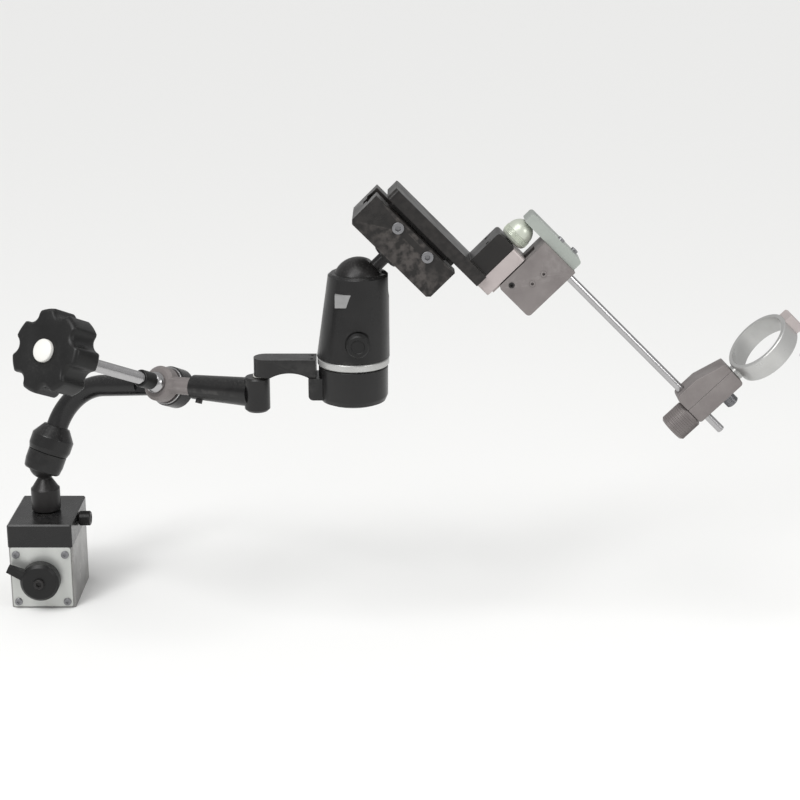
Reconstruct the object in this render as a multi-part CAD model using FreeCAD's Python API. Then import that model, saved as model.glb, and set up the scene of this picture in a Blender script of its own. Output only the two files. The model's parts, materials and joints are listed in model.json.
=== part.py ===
import FreeCAD, Part
import math
import os

os.makedirs("parts", exist_ok=True)

Vec = FreeCAD.Vector
origin = Vec(0, 0, 0)
along_x = Vec(1, 0, 0)
along_y = Vec(0, 1, 0)
along_z = Vec(0, 0, 1)

# Airbrush holder stand: a magnetic base carries a jointed arm, a ball head and a clamp with a
# small rod holder that ends in a ring. Millimetres, +Z up, origin under the middle of the base.

# Clearances
running_gap = 0.05        # radial gap of a shaft or ball that turns in its hole
face_gap = 0.35           # gap between faces of pieces that move past each other
slide_gap = 0.10          # gap of a key in its groove

# Magnetic base
base_width = 43.0
base_depth = 58.0
pole_height = 44.0
cap_height = 16.0
end_plate_thickness = 2.0
end_plate_margin = 1.5
separator_thickness = 5.0
foot_groove_width = 12.0
foot_groove_depth = 4.0
edge_chamfer = 1.0
magnet_radius = 14.0
magnet_height = 22.0      # height of the magnet's axis
magnet_end_gap = 0.5
shaft_radius = 4.0
switch_knob_radius = 13.0
switch_knob_depth = 9.5
pointer_reach = 23.0
pointer_width = 9.0
pointer_thickness = 5.0
pointer_lift = 25.0       # degrees that the pointer stands above level
plate_screw_radius = 1.5
plate_screw_head_radius = 2.6
plate_screw_head_height = 1.2
plate_screw_length = 8.0
plate_screw_inset = 3.6
side_screw_shank_radius = 2.5
side_screw_head_radius = 5.0
side_screw_head_length = 8.0

# Ball post
spigot_radius = 6.0
spigot_length = 12.0
spigot_groove_depth = 0.8
neck_radius = 9.7
neck_height = 17.0
throat_radius = 4.6
throat_height = 24.0      # top of the neck's cone above the base
post_ball_radius = 10.0
post_ball_height = 33.0   # ball centre above the base

# Ball socket at the foot of the lower arm
seat_outer_radius = 10.8
seat_length = 10.5
seat_start = 1.0          # first height above the ball's middle, along the socket
socket_rake = 8.0         # how far the socket leans towards the arm's reach
socket_outer_radius = 11.6
socket_shoulder_radius = 14.2
socket_shoulder = (12.0, 19.0)
socket_length = 27.0
socket_rim = 1.5          # wall left around the arm at the socket's end
collar_bottom_radius = 12.2
collar_radius = 13.0
collar_lip = 5.0          # how far the collar reaches past the ball's middle
collar_top = 8.0

# Arm
arm_yaw = 33.0            # how far the arm's plane is turned towards the front
arm_lean = 24.0           # how far the arm's plane leans back
arm_radius = 7.2
arm_socket_depth = 7.0
arm_straight = 8.0
arm_bend_radius = 38.0
arm_bend_angle = 72.0
elbow_reach = 91.6
elbow_rise = 67.9
rear_eye_radius = 13.0
rear_eye_back = 7.4
rear_eye_front = 5.0
elbow_washer_thickness = 1.2
front_eye_radius = 11.4
front_eye_length = 9.6
spindle_radius = 4.0
spindle_tail = 9.0
elbow_nut_length = 5.0
elbow_nut_radius = 8.0
dome_radius = 7.0
dome_length = 5.2
sleeve_radius = 5.6
sleeve_length = 12.0
knob_start = 96.5         # where the star knob's hub begins along the spindle
knob_hub_length = 7.0
knob_hub_radius = 10.5
knob_thickness = 22.0
knob_radius = 25.5
knob_lobes = 7
knob_valley_radius = 6.5
knob_cap_radius = 7.0
knob_cap_height = 2.5

# Upper arm
upper_reach = 75.7        # from the end eye's middle to the reach and rise of the elbow
upper_rise = 6.5
knuckle_neck_radius = 5.6
knuckle_neck_end = 27.0
knuckle_spigot_length = 12.0
tube_start_radius = 7.8
tube_end_radius = 9.2
tube_bore_radius = 5.0
set_screw_radius = 2.2
set_screw_stand = 2.4
end_eye_radius = 8.0
end_eye_up = 10.5         # from the arm's axis to the eye's upper and lower faces
end_eye_down = 11.4
end_eye_round = 1.5
pivot_offset = 2.6        # the pivot bolt stands this far beyond the eye's middle
pivot_radius = 2.4
pivot_head_radius = 3.4
pivot_head_height = 3.0
washer_radius = 5.0
washer_thickness = 0.8

# Link bar and ball head
bar_thickness = 11.4
bar_width = 16.0
bar_end_overhang = 4.4
bar_arch_depth = 3.0
bar_screw_radius = 1.2
bar_screw_head_radius = 2.2
bar_screw_head_height = 2.0
head_offset = 57.4        # from the end eye's pivot to the head's pan axis
head_base_radius = 21.5
head_base_height = 24.0
head_base_lift = 7.2      # top of the head's base above the bar's underside
bar_end_gap = 0.5
head_base_round = 5.0
head_block_width = 20.0
head_block_reach = 27.6
pan_ring_radius = 22.2
pan_ring_height = 5.0
pan_boss_radius = 9.0
pan_boss_height = 8.0
body_bottom_radius = 22.5
body_top_radius = 18.6
body_rise = 52.5          # body height above the pan ring
ball_offset = 3.5         # the ball sits this far in front of the pan axis
head_ball_radius = 16.0
ball_drop = 6.5           # ball centre below the body's rim
cup_height = 12.0
slot_width = 9.6
slot_depth = 11.0
stem_radius = 4.0
stem_length = 26.0
stud_radius = 3.1
stud_length = 8.0
label_width = 11.0
label_height = 8.0
label_thickness = 0.8
lock_knob_radius = 7.0
lock_knob_length = 8.0
lock_height = 12.5
lock_screw_radius = 2.5

# Quick-release clamp, drawn in the head's tilted frame: u along the clamp, v along the stem
head_tilt = 45.0
clamp_u = (-32.5, 34.0)
clamp_height = 14.0
clamp_width = 38.0
jaw_height = 8.5
jaw_thickness = 9.0
jaw_travel = 3.0
clamp_channel_depth = 3.0
guide_screw_u = (-9.5, 15.4)
guide_screw_radius = 2.0
guide_screw_head_radius = 3.6
guide_screw_head_height = 1.0
clamp_knob_radius = 9.0
clamp_knob_length = 11.0
clamp_screw_radius = 2.5

# Angle plate that slides in the clamp
dovetail_u = (-20.0, 26.0)
dovetail_edge = 1.0       # height of the foot's straight edge under its 45 degree flank
dovetail_neck = 14.0
plate_u = (-26.5, 50.0)
plate_thickness = 8.0
plate_stand = 3.0         # the plate's underside above the jaws
plate_width = 30.0
leg_thickness = 13.5
leg_height = 32.0
leg_width = 22.0
bracket_screw_radius = 2.0
bracket_screw_head_radius = 3.0
bracket_screw_head_height = 2.2
bracket_screw_w = 7.0
bracket_screw_rise = 22.2 # this and every other rise is a height above the plate's underside
guide_plate_thickness = 9.5
guide_plate_rise = (0.0, 31.5)
key_width = 8.0
key_height = 2.5
lift_screw_radius = 2.4
lift_screw_u = 47.0
lift_screw_depth = 18.0
lift_screw_rise = 53.5
lift_nut_radius = 8.8
lift_nut_length = 14.6

# Rod block and its cover strap
block_u = (60.2, 86.5)
block_rise = (8.5, 47.5)
block_width = 24.0
rod_radius = 2.5
rod_rise = 41.9
rod_u = (72.0, 227.0)
rod_bore_end = 63.0
strap_u = (43.0, 85.5)
strap_thickness = 7.0
strap_width = 17.0
strap_screw_offset = 6.0
strap_screw_u = (67.0, 80.0)
strap_screw_radius = 1.5
strap_screw_head_radius = 2.3
gib_screw_places = ((64.8, 15.0), (73.0, 24.5), (73.5, 33.5))   # (u, rise)
gib_screw_radius = 1.8
gib_screw_depth = 5.0

# Rod end clamp
end_body_u = (189.5, 200.7)
end_cheek_u = (200.7, 212.0)
end_rise = (36.5, 72.5)
end_slope_rise = 53.5     # where the body's left face begins to slope
end_slope_run = 5.5
end_width = 16.0
thumb_u = 204.8
thumb_radius = 9.3
thumb_length = 16.0
thumb_shank_radius = 2.5
ring_lock_rise = 59.0
ring_lock_shank_radius = 1.8
ring_lock_head_radius = 4.2
ring_lock_head_length = 7.0

# Ring
ring_post_u = 205.5
ring_post_radius = 2.6
ring_post_depth = 18.0
ring_post_groove = (0.6, 2.6)   # depth and half width of the groove for the locking screw
ring_foot = 2.4           # how far the post's foot is wider than the post
ring_outer_radius = 21.5
ring_wall = 2.6
ring_height = 13.0
ring_stand = 2.0          # from the end clamp to the ring's outside
ring_turn = 10.5          # how far the ring's mouth turns towards the front
retainer_length = 12.0
retainer_width = 11.0
retainer_thickness = 5.0
hook_radius = 1.3
hook_run = 15.0
hook_bend_radius = 6.0


def turned(profile, base=origin, axis=along_z):
    """Solid of revolution of an (r, h) outline about an axis through base."""
    points = [Vec(r, 0, h) for r, h in profile]
    points.append(points[0])
    face = Part.Face(Part.makePolygon(points))
    solid = face.revolve(origin, along_z, 360)
    solid.Placement = FreeCAD.Placement(base, FreeCAD.Rotation(along_z, axis))
    return solid


def rod(radius, start, end):
    run = end.sub(start)
    return Part.makeCylinder(radius, run.Length, start, run)


def block(low, high):
    size = Vec(*high).sub(Vec(*low))
    return Part.makeBox(size.x, size.y, size.z, Vec(*low))


def fused(first, *others):
    return first.multiFuse(list(others)).removeSplitter()


def group(shapes):
    return Part.makeCompound(shapes)


def chamfered(shape, size, test):
    edges = [edge for edge in shape.Edges if test(edge)]
    return shape.makeChamfer(size, edges)


def filleted(shape, radius, test):
    edges = [edge for edge in shape.Edges if test(edge)]
    return shape.makeFillet(radius, edges)


def runs_along(direction):
    def test(edge):
        if not isinstance(edge.Curve, Part.Line):
            return False
        return abs(abs(edge.Curve.Direction.dot(direction)) - 1) < 1e-6
    return test


def hex_prism(across_corners_radius, start, end):
    corners = [Vec(across_corners_radius * math.cos(math.radians(60 * i)),
                   across_corners_radius * math.sin(math.radians(60 * i)), 0) for i in range(7)]
    run = end.sub(start)
    solid = Part.Face(Part.makePolygon(corners)).extrude(Vec(0, 0, run.Length))
    solid.Placement = FreeCAD.Placement(start, FreeCAD.Rotation(along_z, run))
    return solid


def framed(place, x_axis, y_axis, z_axis):
    return FreeCAD.Placement(place, FreeCAD.Rotation(x_axis, y_axis, z_axis, "ZXY"))


def moved(shape, frame):
    copy = shape.copy()
    copy.Placement = frame.multiply(copy.Placement)
    return copy


# Frames

base_height = pole_height + cap_height
half_width = base_width / 2
half_depth = base_depth / 2
ball_centre = Vec(0, 0, base_height + post_ball_height)

yaw = math.radians(arm_yaw)
lean = math.radians(arm_lean)
reach_axis = Vec(math.cos(yaw), -math.sin(yaw), 0)
spindle_axis = Vec(-math.sin(yaw) * math.cos(lean), -math.cos(yaw) * math.cos(lean), math.sin(lean))
rise_axis = spindle_axis.cross(reach_axis)
arm_frame = framed(ball_centre, reach_axis, rise_axis, spindle_axis)

rake = math.radians(socket_rake)
socket_axis = Vec(math.sin(rake), math.cos(rake), 0)
socket_side = Vec(math.cos(rake), -math.sin(rake), 0)

elbow = Vec(elbow_reach, elbow_rise, 0)
front_eye_low = rear_eye_front + elbow_washer_thickness + face_gap
front_eye_high = front_eye_low + front_eye_length
front_eye_middle = (front_eye_low + front_eye_high) / 2
upper_start = elbow + Vec(0, 0, front_eye_middle)
upper_end = upper_start + Vec(upper_reach, upper_rise, 0)
upper_run = Vec(upper_reach, upper_rise, 0)
upper_direction = Vec(upper_reach, upper_rise, 0).normalize()
upper_length = upper_run.Length
eye_world = arm_frame.multVec(upper_end)
pivot_world = eye_world + Vec(pivot_offset, 0, 0)

bar_bottom = pivot_world.z + end_eye_up + washer_thickness + face_gap
bar_top = bar_bottom + bar_thickness
pan_x = pivot_world.x + head_offset
head_y = pivot_world.y
head_base_top = bar_bottom + head_base_lift
head_base_bottom = head_base_top - head_base_height
ring_top = head_base_top + pan_ring_height
body_bottom = ring_top + face_gap
body_top = body_bottom + body_rise
head_ball = Vec(pan_x + ball_offset, head_y, body_top - ball_drop)

tilt = math.radians(head_tilt)
u_axis = Vec(math.cos(tilt), 0, -math.sin(tilt))
v_axis = Vec(math.sin(tilt), 0, math.cos(tilt))
w_axis = u_axis.cross(v_axis)
head_frame = framed(head_ball, u_axis, v_axis, w_axis)


# Magnetic base

def pole_body():
    front = -half_depth + end_plate_thickness
    back = half_depth - end_plate_thickness
    body = block((-half_width, front, 0), (half_width, back, pole_height))
    body = chamfered(body, edge_chamfer, runs_along(along_z))
    groove = block((-foot_groove_width / 2, front, 0), (foot_groove_width / 2, back, foot_groove_depth))
    bore = rod(magnet_radius + running_gap, Vec(0, front, magnet_height), Vec(0, back, magnet_height))
    return body.cut(groove).cut(bore).cut(plate_screws())


def pole(side):
    body = pole_body()
    inner = separator_thickness / 2
    keep = block((inner, -half_depth, 0), (half_width, half_depth, pole_height))
    if side < 0:
        keep = block((-half_width, -half_depth, 0), (-inner, half_depth, pole_height))
    return body.common(keep)


def pole_separators():
    """The bore leaves one strip above it and one strip below it."""
    inner = separator_thickness / 2
    keep = block((-inner, -half_depth, 0), (inner, half_depth, pole_height))
    return pole_body().common(keep)


def plate_screw_places():
    x = half_width - end_plate_margin - plate_screw_inset
    low = end_plate_margin + plate_screw_inset
    high = pole_height - end_plate_margin - plate_screw_inset
    return [(sx * x, z) for sx in (-1, 1) for z in (low, high)]


def plate_screws():
    screws = []
    for side in (-1, 1):
        face = side * half_depth
        for x, z in plate_screw_places():
            outer = face + side * plate_screw_head_height
            head = rod(plate_screw_head_radius, Vec(x, face, z), Vec(x, outer, z))
            shank = rod(plate_screw_radius, Vec(x, face, z), Vec(x, face - side * plate_screw_length, z))
            screws.append(fused(head, shank))
    return group(screws)


def end_plate(side):
    outer = side * half_depth
    inner = outer - side * end_plate_thickness
    x = half_width - end_plate_margin
    low = min(outer, inner)
    high = max(outer, inner)
    plate = block((-x, low, end_plate_margin), (x, high, pole_height))
    plate = filleted(plate, 1.5, runs_along(along_y))
    hole = rod(shaft_radius + running_gap, Vec(0, low, magnet_height), Vec(0, high, magnet_height))
    if side < 0:
        plate = plate.cut(hole)
    return plate.cut(plate_screws())


def base_cap():
    cap = block((-half_width, -half_depth, pole_height), (half_width, half_depth, base_height))
    cap = chamfered(cap, edge_chamfer, lambda edge: edge.BoundBox.ZMin > pole_height + edge_chamfer
                    or runs_along(along_z)(edge))
    bore = rod(spigot_radius + running_gap, Vec(0, 0, base_height - spigot_length - face_gap),
               Vec(0, 0, base_height))
    side_hole = rod(side_screw_shank_radius + running_gap, Vec(0, 0, side_screw_height()),
                    Vec(half_width, 0, side_screw_height()))
    return cap.cut(bore).cut(side_hole)


def side_screw_height():
    return base_height - spigot_length / 2


def magnet_rotor():
    back = half_depth - end_plate_thickness - magnet_end_gap
    body = rod(magnet_radius, Vec(0, -back, magnet_height), Vec(0, back, magnet_height))
    return body.cut(switch_shaft())


def switch_shaft():
    outer = -half_depth - switch_knob_depth + 1.5
    return rod(shaft_radius, Vec(0, outer, magnet_height), Vec(0, 0, magnet_height))


def switch_knob():
    back = half_depth + face_gap
    front = back + switch_knob_depth
    disc = turned([(0, 0), (switch_knob_radius - 1, 0), (switch_knob_radius, 1),
                   (switch_knob_radius, switch_knob_depth - 2), (switch_knob_radius - 2, switch_knob_depth),
                   (0, switch_knob_depth)],
                  Vec(0, -back, magnet_height), Vec(0, -1, 0))
    bar = Part.makePolygon([Vec(0, 0, -pointer_width / 2), Vec(0, 0, pointer_width / 2),
                            Vec(-pointer_reach, 0, pointer_width / 4),
                            Vec(-pointer_reach, 0, -pointer_width / 4),
                            Vec(0, 0, -pointer_width / 2)])
    pointer = Part.Face(bar).extrude(Vec(0, pointer_thickness, 0))
    pointer.rotate(origin, along_y, pointer_lift)
    pointer.translate(Vec(0, -front + 0.8, magnet_height))
    knob = fused(disc, pointer)
    return knob.cut(switch_shaft()).cut(switch_screw())


def switch_screw():
    shaft_end = -half_depth - switch_knob_depth + 1.5
    face = -half_depth - face_gap - switch_knob_depth
    shank = rod(1.6, Vec(0, shaft_end, magnet_height), Vec(0, face, magnet_height))
    head = rod(3.4, Vec(0, face, magnet_height), Vec(0, face - 1.8, magnet_height))
    return fused(shank, head)


def side_screw():
    z = side_screw_height()
    tip = spigot_radius - spigot_groove_depth + face_gap
    shank = rod(side_screw_shank_radius, Vec(tip, 0, z), Vec(half_width + 1, 0, z))
    head = turned([(0, 0), (side_screw_head_radius, 0.6), (side_screw_head_radius, side_screw_head_length - 1),
                   (side_screw_head_radius - 1, side_screw_head_length), (0, side_screw_head_length)],
                  Vec(half_width + face_gap, 0, z), along_x)
    return fused(shank, head)


def ball_post():
    r = spigot_radius
    g = spigot_radius - spigot_groove_depth
    groove = side_screw_shank_radius + 0.8
    side = side_screw_height() - base_height
    bottom = -spigot_length
    ball_low = post_ball_height - math.sqrt(post_ball_radius ** 2 - throat_radius ** 2)
    profile = [(0, bottom), (r - 0.6, bottom), (r, bottom + 0.6), (r, side - groove), (g, side - groove),
               (g, side + groove), (r, side + groove), (r, face_gap), (neck_radius - 1, face_gap),
               (neck_radius, 1 + face_gap), (neck_radius, neck_height - 1), (neck_radius - 1, neck_height),
               (throat_radius, throat_height - 0.5), (throat_radius, ball_low + 0.3), (0, ball_low + 0.3)]
    post = turned(profile, Vec(0, 0, base_height))
    ball = Part.makeSphere(post_ball_radius, ball_centre)
    return fused(post, ball)


# Ball socket, drawn in the arm frame with its axis raked towards the reach

def about_socket(profile):
    return turned(profile, origin, socket_axis)


def ball_seat():
    seat = about_socket([(0, seat_start), (seat_outer_radius, seat_start),
                         (seat_outer_radius, seat_start + seat_length), (0, seat_start + seat_length)])
    return seat.cut(Part.makeSphere(post_ball_radius + running_gap))


def socket_body():
    bore = seat_outer_radius + running_gap
    low = seat_start / 2
    inside_top = seat_start + seat_length + face_gap
    step = collar_top + face_gap
    body = about_socket([(bore, low), (socket_outer_radius, low), (socket_outer_radius, step),
                         (collar_radius, step), (socket_shoulder_radius, socket_shoulder[0]),
                         (socket_shoulder_radius, socket_shoulder[1]),
                         (arm_radius + socket_rim, socket_length), (0, socket_length), (0, inside_top),
                         (bore, inside_top)])
    arm_hole = rod(arm_radius, socket_axis * (socket_length - arm_socket_depth), socket_axis * (socket_length + 1))
    return body.cut(arm_hole)


def socket_collar():
    inner = socket_outer_radius + running_gap
    floor = seat_start / 2 - face_gap
    outer = about_socket([(0, -collar_lip), (collar_bottom_radius - 1, -collar_lip),
                          (collar_bottom_radius, 1 - collar_lip), (collar_radius, 1),
                          (collar_radius, collar_top), (inner, collar_top), (inner, floor), (0, floor)])
    return outer.cut(Part.makeSphere(post_ball_radius + running_gap))


# Lower arm and elbow

def arm_path():
    start = socket_axis * (socket_length - arm_socket_depth)
    bend_start = start + socket_axis * arm_straight
    centre = bend_start + socket_side * arm_bend_radius

    def on_bend(turn):
        angle = math.radians(turn)
        return centre + (socket_axis * math.sin(angle) - socket_side * math.cos(angle)) * arm_bend_radius

    bend_end = on_bend(arm_bend_angle)
    slope = math.radians(90 - arm_bend_angle - socket_rake)
    run = elbow_reach - bend_end.x - rear_eye_radius / 2
    end = bend_end + Vec(run, run * math.tan(slope), 0)
    bend = Part.Arc(bend_start, on_bend(arm_bend_angle / 2), bend_end).toShape()
    return Part.Wire([Part.makeLine(start, bend_start), bend, Part.makeLine(bend_end, end)])


def lower_arm():
    path = arm_path()
    start = path.Vertexes[0].Point
    ring = Part.Wire(Part.makeCircle(arm_radius, start, socket_axis))
    bar = path.makePipeShell([ring], True, True)
    eye = turned([(0, -rear_eye_back), (rear_eye_radius - 1, -rear_eye_back),
                  (rear_eye_radius, 1 - rear_eye_back), (rear_eye_radius, rear_eye_front - 1),
                  (rear_eye_radius - 1, rear_eye_front), (0, rear_eye_front)], elbow)
    beyond = Part.makeCylinder(rear_eye_radius * 2, front_eye_high + rear_eye_radius,
                               elbow + Vec(0, 0, rear_eye_front))
    bore = rod(spindle_radius + running_gap, elbow + Vec(0, 0, -rear_eye_back - 1),
               elbow + Vec(0, 0, rear_eye_front + 1))
    return fused(bar.cut(beyond), eye).cut(bore)


def elbow_washer():
    low = rear_eye_front
    high = low + elbow_washer_thickness
    outer = front_eye_radius + 1.0
    return turned([(spindle_radius + 0.3, low), (outer, low), (outer, high), (spindle_radius + 0.3, high)], elbow)


def elbow_nut():
    start = elbow + Vec(0, 0, -rear_eye_back - elbow_nut_length)
    end = elbow + Vec(0, 0, -rear_eye_back)
    nut = hex_prism(elbow_nut_radius, start, end)
    return nut.cut(rod(spindle_radius + running_gap, start, end))


def knob_spindle():
    low = -rear_eye_back - elbow_nut_length + 1
    high = knob_start + knob_hub_length + knob_thickness - 6
    return rod(spindle_radius, elbow + Vec(0, 0, low), elbow + Vec(0, 0, high))


def thrust_dome():
    low = front_eye_high + face_gap
    centre = elbow + Vec(0, 0, low)
    dome = turned([(0, 0), (dome_radius, 0), (dome_radius, 1.5), (dome_radius * 0.93, 3.0),
                   (dome_radius * 0.8, 4.4), (dome_radius * 0.66, dome_length), (0, dome_length)], centre)
    return dome.cut(knob_spindle())


def spindle_sleeve():
    low = front_eye_high + face_gap + dome_length
    high = low + sleeve_length
    sleeve = turned([(0, low), (sleeve_radius - 0.6, low), (sleeve_radius, low + 0.6),
                     (sleeve_radius, high - 0.6), (sleeve_radius - 0.6, high), (0, high)], elbow)
    return sleeve.cut(knob_spindle())


def star_knob():
    low = knob_start + knob_hub_length
    high = low + knob_thickness
    hub = rod(knob_hub_radius, elbow + Vec(0, 0, knob_start), elbow + Vec(0, 0, low + 2))
    disc = rod(knob_radius, elbow + Vec(0, 0, low), elbow + Vec(0, 0, high))
    for i in range(knob_lobes):
        angle = 2 * math.pi * (i + 0.5) / knob_lobes
        place = Vec(math.cos(angle), math.sin(angle), 0) * (knob_radius + knob_valley_radius * 0.35)
        valley = rod(knob_valley_radius, elbow + place + Vec(0, 0, low - 1), elbow + place + Vec(0, 0, high + 1))
        disc = disc.cut(valley)
    knob = fused(disc, hub)
    return knob.cut(knob_spindle()).cut(knob_cap())


def knob_cap():
    top = knob_start + knob_hub_length + knob_thickness
    low = top - 2
    return turned([(0, low), (knob_cap_radius, low), (knob_cap_radius, top + 0.8),
                   (knob_cap_radius - 2, top + knob_cap_height), (0, top + knob_cap_height)], elbow)


# Upper arm

def upper_knuckle():
    eye = turned([(0, front_eye_low), (front_eye_radius - 1, front_eye_low),
                  (front_eye_radius, front_eye_low + 1), (front_eye_radius, front_eye_high - 2),
                  (front_eye_radius - 2, front_eye_high), (0, front_eye_high)], elbow)
    neck = rod(knuckle_neck_radius, upper_start, upper_start + upper_direction * knuckle_neck_end)
    spigot = rod(tube_bore_radius, upper_start,
                 upper_start + upper_direction * (knuckle_neck_end + knuckle_spigot_length))
    eye_layer = Part.makeCylinder(upper_length, front_eye_length, elbow + Vec(0, 0, front_eye_low))
    past_eye = rod(rear_eye_radius, upper_start + upper_direction * (rear_eye_radius + 1), upper_end)
    shank = fused(neck, spigot).common(fused(eye_layer, past_eye))
    bore = rod(spindle_radius + running_gap, elbow, elbow + Vec(0, 0, knob_start))
    return fused(eye, shank).cut(bore)


def upper_arm_tube():
    start = upper_start + upper_direction * knuckle_neck_end
    run = upper_length - knuckle_neck_end - end_eye_radius * 0.4
    tube = Part.makeCone(tube_start_radius, tube_end_radius, run, start, upper_direction)
    bore = rod(tube_bore_radius, start, start + upper_direction * run)
    reach = Vec(0, 0, upper_length / 2)
    eye_space = moved(rod(end_eye_radius, eye_world - reach, eye_world + reach), arm_frame.inverse())
    return tube.cut(bore).cut(eye_space).cut(knuckle_set_screw())


def knuckle_set_screw():
    place = upper_start + upper_direction * (knuckle_neck_end + knuckle_spigot_length / 2)
    inner = place - along_y * (tube_bore_radius + 0.2)
    outer = place - along_y * (tube_start_radius + set_screw_stand)
    return rod(set_screw_radius, inner, outer)


def end_eye():
    low = -end_eye_down
    high = end_eye_up
    r = end_eye_radius
    barrel = turned([(0, low), (r - end_eye_round, low), (r, low + end_eye_round), (r, high - 1),
                     (r - 1, high), (0, high)], eye_world)
    direction = arm_frame.Rotation.multVec(upper_direction)
    boss = rod(tube_bore_radius, eye_world - direction * (end_eye_radius + 7), eye_world)
    head_floor = pivot_world + Vec(0, 0, low + pivot_head_height + face_gap)
    bore = rod(pivot_radius + running_gap, head_floor, pivot_world + Vec(0, 0, high + 1))
    head_space = rod(pivot_head_radius + face_gap, pivot_world + Vec(0, 0, low - 1), head_floor)
    return fused(barrel, boss).cut(bore).cut(head_space)


# Link bar and head base, in world axes

def pivot_bolt():
    bottom = pivot_world - Vec(0, 0, end_eye_down)
    shank = rod(pivot_radius, bottom, Vec(pivot_world.x, pivot_world.y, bar_top - 2))
    head = rod(pivot_head_radius, bottom, bottom + Vec(0, 0, pivot_head_height))
    return fused(shank, head)


def pivot_washer():
    low = bar_bottom - washer_thickness
    place = Vec(pivot_world.x, pivot_world.y, low)
    return turned([(pivot_radius, 0), (washer_radius, 0), (washer_radius, washer_thickness),
                   (pivot_radius, washer_thickness)], place)


def bar_right():
    return pan_x - body_bottom_radius - bar_end_gap


def link_bar():
    left = pivot_world.x - bar_end_overhang
    right = bar_right()
    half = bar_width / 2
    bar = block((left, head_y - half, bar_bottom), (right, head_y + half, bar_top))
    bar = filleted(bar, half - 0.5, lambda edge: runs_along(along_z)(edge) and edge.BoundBox.XMax < left + 1)
    block_left = pan_x - head_block_reach
    arch_left = eye_world.x + end_eye_radius + 1
    span = block_left - arch_left
    middle = (block_left + arch_left) / 2
    arch_radius = (span ** 2 / 4 + bar_arch_depth ** 2) / (2 * bar_arch_depth)
    arch_centre = bar_bottom + bar_arch_depth - arch_radius
    arch = rod(arch_radius, Vec(middle, head_y - bar_width, arch_centre), Vec(middle, head_y + bar_width, arch_centre))
    bar = bar.cut(arch)
    return bar.cut(pivot_bolt()).cut(bar_screws())


def bar_screws():
    x = bar_right() - bar_screw_head_radius - face_gap
    screws = []
    for side in (-1, 1):
        y = head_y + side * bar_width * 0.27
        shank = rod(bar_screw_radius, Vec(x, y, bar_bottom - 8), Vec(x, y, bar_top))
        head = rod(bar_screw_head_radius, Vec(x, y, bar_top - bar_screw_head_height), Vec(x, y, bar_top))
        screws.append(fused(shank, head))
    return group(screws)


def head_base():
    low = head_base_bottom
    high = head_base_top
    r = head_base_radius
    puck = turned([(0, 0), (r - head_base_round, 0), (r - head_base_round * 0.29, head_base_round * 0.29),
                   (r, head_base_round), (r, high - low - 1), (r - 1, high - low), (0, high - low)],
                  Vec(pan_x, head_y, low))
    half = head_block_width / 2
    lug = block((pan_x - head_block_reach, head_y - half, low + 3), (pan_x, head_y + half, bar_bottom))
    lug = filleted(lug, 3, lambda edge: edge.BoundBox.XMax < pan_x - head_block_reach + 1
                   and runs_along(along_y)(edge) and edge.BoundBox.ZMax < low + 4)
    base = fused(puck, lug)
    boss = rod(pan_boss_radius, Vec(pan_x, head_y, high), Vec(pan_x, head_y, ring_top + pan_boss_height))
    base = fused(base, boss)
    bar_space = block((pan_x - pan_ring_radius - head_block_reach, head_y - head_block_width, bar_bottom),
                      (bar_right(), head_y + head_block_width, bar_top))
    return base.cut(bar_space).cut(bar_screws())


def pan_ring():
    r = pan_ring_radius
    return turned([(pan_boss_radius, 0), (r - 0.8, 0), (r, 0.8), (r, pan_ring_height - 0.8),
                   (r - 0.8, pan_ring_height), (pan_boss_radius, pan_ring_height)],
                  Vec(pan_x, head_y, head_base_top))


# Ball head

def head_body():
    low = Part.Wire(Part.makeCircle(body_bottom_radius, Vec(pan_x, head_y, body_bottom)))
    high = Part.Wire(Part.makeCircle(body_top_radius, Vec(head_ball.x, head_y, body_top)))
    body = Part.makeLoft([low, high], True, True)
    body = chamfered(body, 1.5, lambda edge: edge.BoundBox.ZMin > body_top - 0.1)
    ball_space = Part.makeSphere(head_ball_radius + running_gap, head_ball)
    shaft = rod(head_ball_radius + running_gap, head_ball - Vec(0, 0, head_ball_radius + cup_height), head_ball)
    boss = rod(pan_boss_radius + running_gap, Vec(pan_x, head_y, body_bottom - 1),
               Vec(pan_x, head_y, ring_top + pan_boss_height + face_gap))
    slot_low = head_ball.z - (slot_depth - ball_drop)
    slot = block((head_ball.x, head_y - slot_width / 2, slot_low),
                 (head_ball.x + body_bottom_radius, head_y + slot_width / 2, body_top + 1))
    slot_round = rod(slot_width / 2, Vec(head_ball.x, head_y, slot_low),
                     Vec(head_ball.x + body_bottom_radius, head_y, slot_low))
    lock_hole = rod(lock_screw_radius + running_gap, lock_place(0), lock_place(body_bottom_radius))
    body = body.cut(ball_space).cut(shaft).cut(boss).cut(slot).cut(slot_round).cut(lock_hole)
    return body.cut(lock_seat()).cut(scale_plate())


def lock_place(out):
    return Vec(pan_x + ball_offset, head_y - out, body_bottom + lock_height)


def lock_face():
    """Distance from the head's axis to the flat that the lock knob sits on."""
    return body_bottom_radius - 3.0


def lock_seat():
    return rod(lock_knob_radius + 1, lock_place(lock_face()), lock_place(body_bottom_radius + 2))


def lock_knob():
    start = lock_face() + face_gap
    knob = turned([(0, 0), (lock_knob_radius, 0), (lock_knob_radius, lock_knob_length - 1.2),
                   (lock_knob_radius - 1.2, lock_knob_length), (0, lock_knob_length)],
                  lock_place(start), Vec(0, -1, 0))
    shank = rod(lock_screw_radius, lock_place(pan_boss_radius + 1), lock_place(start + 1))
    return fused(knob, shank)


def head_cup():
    low = -head_ball_radius - cup_height
    cup = turned([(0, low), (head_ball_radius - 0.6, low), (head_ball_radius - 0.6, -3.0), (0, -3.0)], head_ball)
    return cup.cut(Part.makeSphere(head_ball_radius + running_gap, head_ball))


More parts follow.
